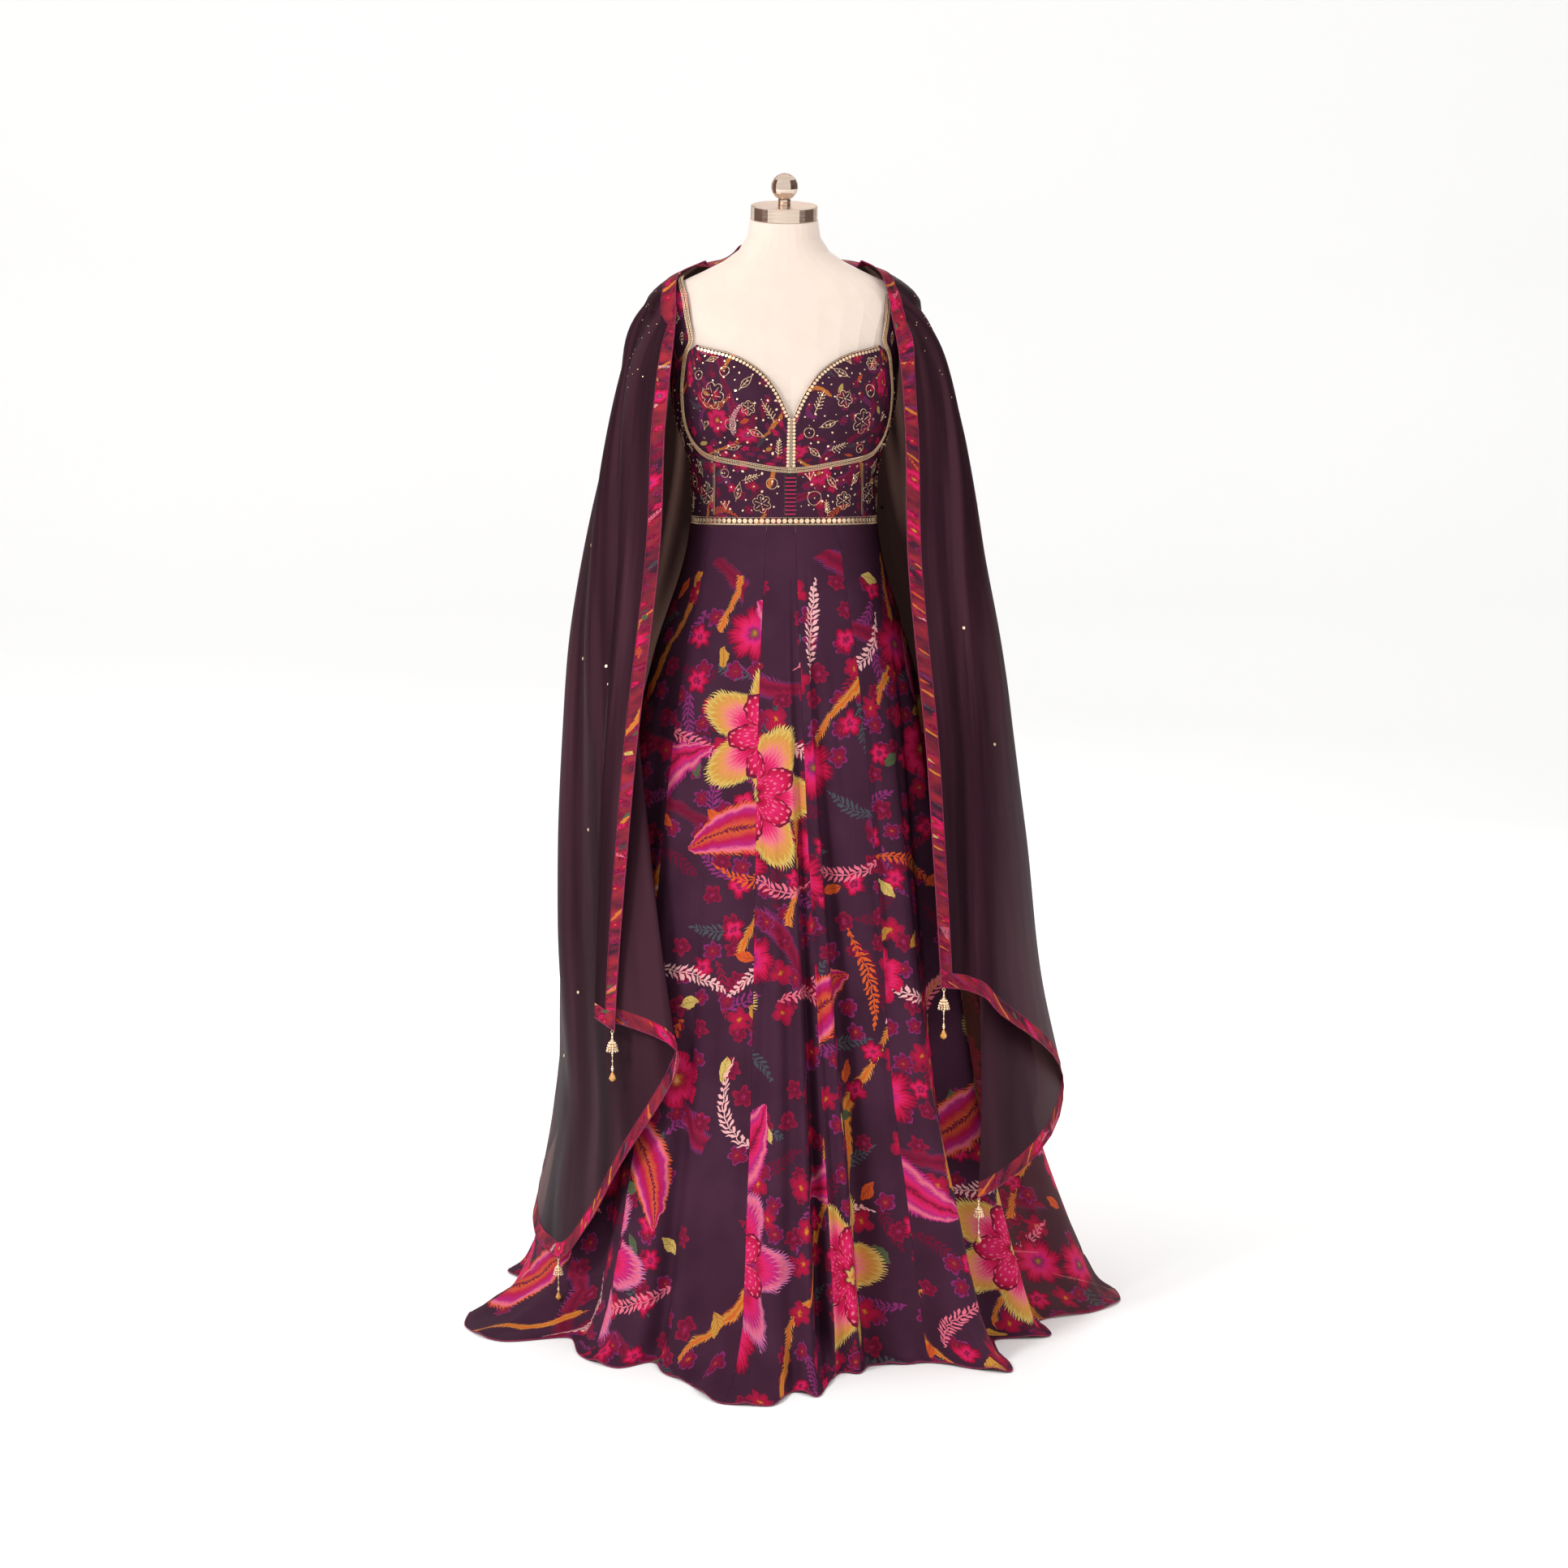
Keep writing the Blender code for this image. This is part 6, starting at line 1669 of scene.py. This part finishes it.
def gown_print(name, size=1.0, blooms=True, ground=(AUBERGINE, LIT_AUBERGINE), strength=1.0, bare=-9.0, thin=0.0, sheer=0.0):
    """The floral print in the cloth's flat metres.

    size scales its motifs, bare is the depth of its plain top, and thin leaves more of them out.
    """
    n = Nodes(name)
    n.bare, n.thin = bare, thin
    flat = n.cloth()
    drawn = n.vector("SCALE", flat, scale=1 / size)
    wobble = n.make("ShaderNodeTexNoise", {"Vector": drawn, "Scale": 70.0, "Detail": 2.0}).outputs["Color"]
    drawn = n.vector("ADD", drawn, n.vector("SCALE", n.vector("SUBTRACT", wobble, (0.5, 0.5, 0.5)), scale=0.012))
    busy = n.noise(drawn, 3.6, 1.0)
    colour = n.ramp(n.noise(drawn, 12.0), (0.35, ground[0]), (0.65, ground[1]))
    colour = sprigs(n, drawn, colour, 0.088, (0.31, 0.17), 0.044, 0.0115, ((0.0, VIOLET), (0.30, WINE), (0.55, SLATE), (0.8, DEEP_RED)), 0.22)
    colour = feather_bands(n, drawn, colour, -0.55, 0.33, (0.21, 0.04), ((0.0, WINE), (0.6, DEEP_RED), (1.0, VIOLET)), n.math("SUBTRACT", 1.0, busy), 1.4)
    colour = flowers(
        n, drawn, colour, 0.040, (0.63, 0.37), 5, 0.0150,
        ((0.0, VIOLET), (0.22, DEEP_RED), (0.40, WINE), (0.60, WINE), (0.92, DEEP_RED)),
        ((0.0, ORANGE), (0.2, WINE), (0.36, DEEP_RED), (0.75, WINE), (0.95, VIOLET)), 0.40, 0.55, 0.8,
    )
    colour = feather_bands(n, drawn, colour, 1.15, 0.25, (0.07, 0.11), ((0.0, ORANGE), (0.5, MUSTARD), (1.0, ORANGE)), busy, 0.8)
    colour = flowers(
        n, drawn, colour, 0.060, (0.13, 0.47), 4, 0.0185,
        ((0.0, MUSTARD), (0.16, ORANGE), (0.28, WINE), (0.38, CRIMSON), (0.85, DEEP_RED)),
        ((0.0, HOT_PINK), (0.2, DARK), (0.34, HOT_PINK), (0.70, CRIMSON), (0.95, WINE)), 0.48, 0.50, 0.7, 0.05,
    )
    colour = leaves_of(n, drawn, colour, 0.085, (0.77, 0.29), 0.018, 0.0082, ((0.0, CREAM), (0.22, MUSTARD), (0.42, GREEN), (0.66, ORANGE)), 0.54)
    colour = sprigs(n, drawn, colour, 0.160, (0.53, 0.87), 0.076, 0.0120, ((0.0, BLUSH), (0.35, ROSE), (0.70, ORANGE)), 0.46)
    colour = flowers(
        n, drawn, colour, 0.16, (0.91, 0.23), 6, 0.042,
        ((0.0, CREAM), (0.12, ORANGE), (0.24, WINE), (0.36, CRIMSON), (0.68, HOT_PINK), (0.90, CRIMSON)),
        ((0.0, MUSTARD), (0.12, DARK), (0.24, MAGENTA), (0.40, HOT_PINK), (0.72, CRIMSON), (0.95, WINE)), 0.52, 0.62, 0.5, 0.08,
    )
    if blooms:
        colour = plumes(n, drawn, colour, 0.24, (0.41, 0.13), 0.100, 0.034, 0.42)
        colour = heroes(n, drawn, colour, 0.34, (0.17, 0.05), 0.108, 0.36)
    if strength < 1:
        colour = n.mix(strength, AUBERGINE, colour)
    n.bump(weave_height(n, flat, 0.0012), 0.2, 0.0003)
    made = n.done(colour, 0.72, Specular_IOR_Level=0.07, Specular_Tint=(1.0, 0.60, 0.75, 1.0))
    if sheer:
        n.see_through(1 - sheer)
    return made


def chiffon_material():
    n = Nodes("chiffon")
    flat = n.cloth()
    hang = n.make("ShaderNodeUVMap", uv_map="hang").outputs[0]
    # Long lighter and darker streaks down the hang map: painted shade and painted highlight of soft folds, laid into
    # the chiffon's colour.
    streak = n.noise(n.vector("MULTIPLY", hang, (13.0, 1.2, 1.0)), 1.0, 3.0)
    colour = n.ramp(streak, (0.36, (0.012, 0.004, 0.007)), (0.50, (0.026, 0.008, 0.014)), (0.64, (0.052, 0.019, 0.028)))
    n.bump(weave_height(n, flat, 0.0010), 0.25, 0.0003)
    made = n.done(colour, 0.50, Specular_IOR_Level=0.09, Specular_Tint=(1.0, 0.45, 0.60, 1.0))
    long = n.noise(n.vector("MULTIPLY", hang, (9.0, 2.0, 1.0)), 1.0, 1.0)
    n.see_through(n.range(long, 0.48, 0.62, 0.988, 0.93))
    return made


def border_material():
    return gown_print("border_print", size=0.40, blooms=False, ground=(AUBERGINE, (0.31, 0.022, 0.034)), thin=0.06)


def gold_material():
    n = Nodes("gold")
    place = n.place()
    tone = n.noise(place, 900.0)
    colour = n.ramp(tone, (0.35, (0.86, 0.57, 0.33)), (0.65, (1.0, 0.81, 0.58)))
    return n.done(colour, n.range(tone, 0.3, 0.7, 0.46, 0.26), Metallic=0.8)


def plain_cloth(name, low, high):
    n = Nodes(name)
    place = n.place()
    fine = n.noise(n.vector("MULTIPLY", place, (1.0, 1.0, 2.6)), 700.0)
    return n.done(n.ramp(fine, (0.35, low), (0.65, high)), 0.7, Specular_IOR_Level=0.25)


def thread_material():
    n = Nodes("thread")
    tone = n.noise(n.place(), 260.0)
    return n.done(n.ramp(tone, (0.35, (0.16, 0.010, 0.040)), (0.65, (0.26, 0.020, 0.070))), 0.7, Specular_IOR_Level=0.3)


def amber_material():
    n = Nodes("amber_glass")
    tone = n.noise(n.place(), 180.0)
    return n.done(n.ramp(tone, (0.3, (0.50, 0.20, 0.03)), (0.7, (0.75, 0.38, 0.07))), 0.12, Coat_Weight=0.6)


def jersey_material():
    n = Nodes("jersey")
    place = n.place()
    tone = n.noise(place, 30.0)
    colour = n.ramp(tone, (0.3, (0.715, 0.595, 0.510)), (0.7, (0.740, 0.620, 0.535)))
    rib = n.noise(n.vector("MULTIPLY", place, (900.0, 900.0, 450.0)), 1.0, 1.0)
    n.bump(rib, 0.12, 0.0004)
    return n.done(colour, 0.78, Sheen_Weight=0.1)


def metal_material(name, low, high):
    """Brushed or polished steel: its least and most roughness."""
    n = Nodes(name)
    place = n.place()
    brushed = n.noise(n.vector("MULTIPLY", place, (20.0, 20.0, 2200.0)), 1.0, 3.0)
    colour = n.ramp(brushed, (0.3, (0.66, 0.51, 0.41)), (0.7, (0.86, 0.71, 0.60)))
    return n.done(colour, n.range(brushed, 0.3, 0.7, low, high), Metallic=1.0)


def make_placket(surface):
    """The button stand."""
    top = CUP_EDGES["low_z"][0] - 2 * SEAM
    half = PLACKET_HALF - SEAM
    flat = np.array([[(x, z) for x in np.linspace(-half, half, 9)] for z in np.linspace(WAIST_Z + 2 * SEAM, top, 61)])
    seated, _ = onto_form(front_guess(flat[..., 0], flat[..., 1]), np.full(1, EASE + CLOTH))
    made = shell("cloth_placket", seated, surface, ["placket"], wall=CLOTH)
    return (made, *cut_of(seated))


def make_loops(surface):
    """The placket's closing: a ladder of thin cloth loops across the button stand."""
    stamps = Stamps()
    across = np.linspace(-PLACKET_HALF + 0.0008, PLACKET_HALF - 0.0008, 7)
    bow = 0.0010 * np.cos(across / PLACKET_HALF * math.pi / 2)
    for z in np.arange(WAIST_Z + 0.017, CUP_EDGES["low_z"][0] - 0.008, 0.0058):
        path, out = onto_form(front_guess(across, np.full(7, z)), np.full(1, EASE + CLOTH + 0.0004))
        stamps.tube(path + out * bow[:, None], 0.0011, sides=6)
    stamps.piece("placket_loops", surface, "bodice_cloth")


def aim(thing, target):
    way = Vector(target) - thing.location
    thing.rotation_euler = way.to_track_quat("-Z", "Y").to_euler()


def dark_flag(name, place, target, width, height, shade):
    """A darker panel that only the polished metal reflects."""
    n = Nodes(name)
    tone = n.noise(n.place(), 2.6)
    n.done(n.ramp(tone, (0.35, tuple(0.55 * v for v in shade)), (0.65, shade)), 0.9)
    mesh = bpy.data.meshes.new(name)
    w, h = width / 2, height / 2
    mesh.from_pydata([(-w, -h, 0.0), (w, -h, 0.0), (w, h, 0.0), (-w, h, 0.0)], [], [(0, 1, 2, 3)])
    mesh.materials.append(n.material)
    made = bpy.data.objects.new(name, mesh)
    made.location = place
    bpy.context.scene.collection.objects.link(made)
    aim(made, target)
    made.visible_camera = made.visible_diffuse = made.visible_shadow = False


def soft_light(name, place, target, size, power, colour=(1.0, 1.0, 1.0)):
    data = bpy.data.lights.new(name, "AREA")
    data.shape, data.size, data.energy, data.color = "DISK", size, power, colour
    made = bpy.data.objects.new(name, data)
    made.location = place
    bpy.context.scene.collection.objects.link(made)
    aim(made, target)


def make_camera():
    bpy.context.scene.view_settings.view_transform = "Standard"
    data = bpy.data.cameras.new("camera")
    data.sensor_width, data.lens = 36.0, 76.2
    data.clip_end = 60.0
    data.dof.use_dof = False
    made = bpy.data.objects.new("camera", data)
    side = math.radians(-5)
    made.location = (4.87 * math.sin(side), -4.87 * math.cos(side), 1.30)
    made.rotation_euler = (math.radians(90 - 6.25), 0, side)
    bpy.context.scene.collection.objects.link(made)
    bpy.context.scene.camera = made


def make_room():
    """A pale floor that turns up into the wall behind."""
    n = Nodes("studio_floor")
    tone = n.noise(n.place(), 0.6)
    n.done(n.ramp(tone, (0.3, (0.945, 0.945, 0.940)), (0.7, (0.960, 0.960, 0.955))), 0.9)
    profile = [(-9.0, 0.0), (3.0, 0.0), (4.5, 0.15), (5.6, 0.7), (6.3, 1.8), (6.5, 3.2), (6.5, 9.0)]
    along_y = np.array([p[0] for p in profile])
    rise = np.array([p[1] for p in profile])
    points = [(x, y, z - 0.0004) for x in (-14.0, 14.0) for y, z in zip(along_y, rise)]
    count = len(profile)
    faces = [(k, count + k, count + k + 1, k + 1) for k in range(count - 1)]
    mesh = bpy.data.meshes.new("studio")
    mesh.from_pydata(points, [], faces)
    mesh.materials.append(n.material)
    mesh.shade_smooth()
    room = bpy.data.objects.new("studio", mesh)
    bpy.context.scene.collection.objects.link(room)
    world = bpy.data.worlds.new("studio_light")
    bpy.context.scene.world = world
    world.use_nodes = True
    world.node_tree.nodes["Background"].inputs["Color"].default_value = (1.0, 0.995, 0.99, 1.0)
    world.node_tree.nodes["Background"].inputs["Strength"].default_value = 0.92
    soft_light("key", (-3.1, -2.6, 3.2), (0, 0, 1.0), 1.2, 105)
    soft_light("fill", (3.2, -3.0, 2.2), (0, 0, 0.9), 2.4, 16)
    soft_light("back", (0.6, 3.6, 3.2), (0, 0, 1.2), 1.8, 60)
    dark_flag("flag_left", (-1.5, 0.2, 1.7), (0, 0, 1.6), 1.9, 1.5, (0.20, 0.13, 0.11))
    dark_flag("flag_right", (1.5, 0.0, 1.7), (0, 0, 1.6), 2.2, 1.5, (0.13, 0.09, 0.08))
    dark_flag("flag_back", (0.0, 2.6, 2.30), (0, 0, 1.62), 3.6, 3.6, (0.64, 0.53, 0.46))


def main():
    make_camera()
    make_room()
    gown = gown_print("gown_print", bare=0.075)
    sheer = gown_print("gown_print_sheer", ground=((0.044, 0.017, 0.027), (0.062, 0.026, 0.034)), bare=0.075, sheer=0.13)
    bodice = gown_print("bodice_print", size=0.45, blooms=False, strength=0.72, thin=0.12)
    stand = plain_cloth("placket_cloth", (0.020, 0.007, 0.013), (0.034, 0.011, 0.021))
    loops = plain_cloth("loop_cloth", (0.34, 0.010, 0.075), (0.50, 0.020, 0.120))
    chiffon, border = chiffon_material(), border_material()
    gold, jersey = gold_material(), jersey_material()
    steel, polished = metal_material("brushed_steel", 0.16, 0.26), metal_material("polished_steel", 0.05, 0.10)
    thread, amber = thread_material(), amber_material()

    coarse = np.array(skirt_rows(skirt_folds(2), SKIRT_LEVELS)[0])
    skirt = fine_skirt()
    for number, (name, (first, last)) in enumerate(PANEL_SEAMS.items()):
        columns = np.arange(first * FINE_STEPS, last * FINE_STEPS + 1) % skirt.shape[1]
        panel = part_edges(skirt[:, columns], SEAM)
        surface = sheer if name == SHEER_PANEL else gown
        made = shell(f"cloth_{name}", panel, surface, [name], shift=(0.9 * number + PRINT_START, 0.0))
        width, length, area = cut_of(panel)

    for made, width, length, area in [*make_bodice(bodice), make_placket(stand)]:
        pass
    make_loops(loops)
    make_trims(gold)
    make_embroidery(gold)
    make_hem(skirt, thread)

    grid, stretches = make_dupatta(chiffon, border, coarse)
    make_dupatta_details(grid, thread, gold)
    for name in ("latkan_front_left", "latkan_side_left", "latkan_side_right", "latkan_front_right"):
        make_latkan(f"beads_{name}", name, gold, amber)

    for name, surface in (
        ("form_torso", jersey),
        ("neck_cap", steel),
        ("finial_collar", steel),
        ("finial_ball", polished),
        ("stand_pole", steel),
        ("stand_base", steel),
    ):
        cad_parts[name].data.materials[0] = surface


main()
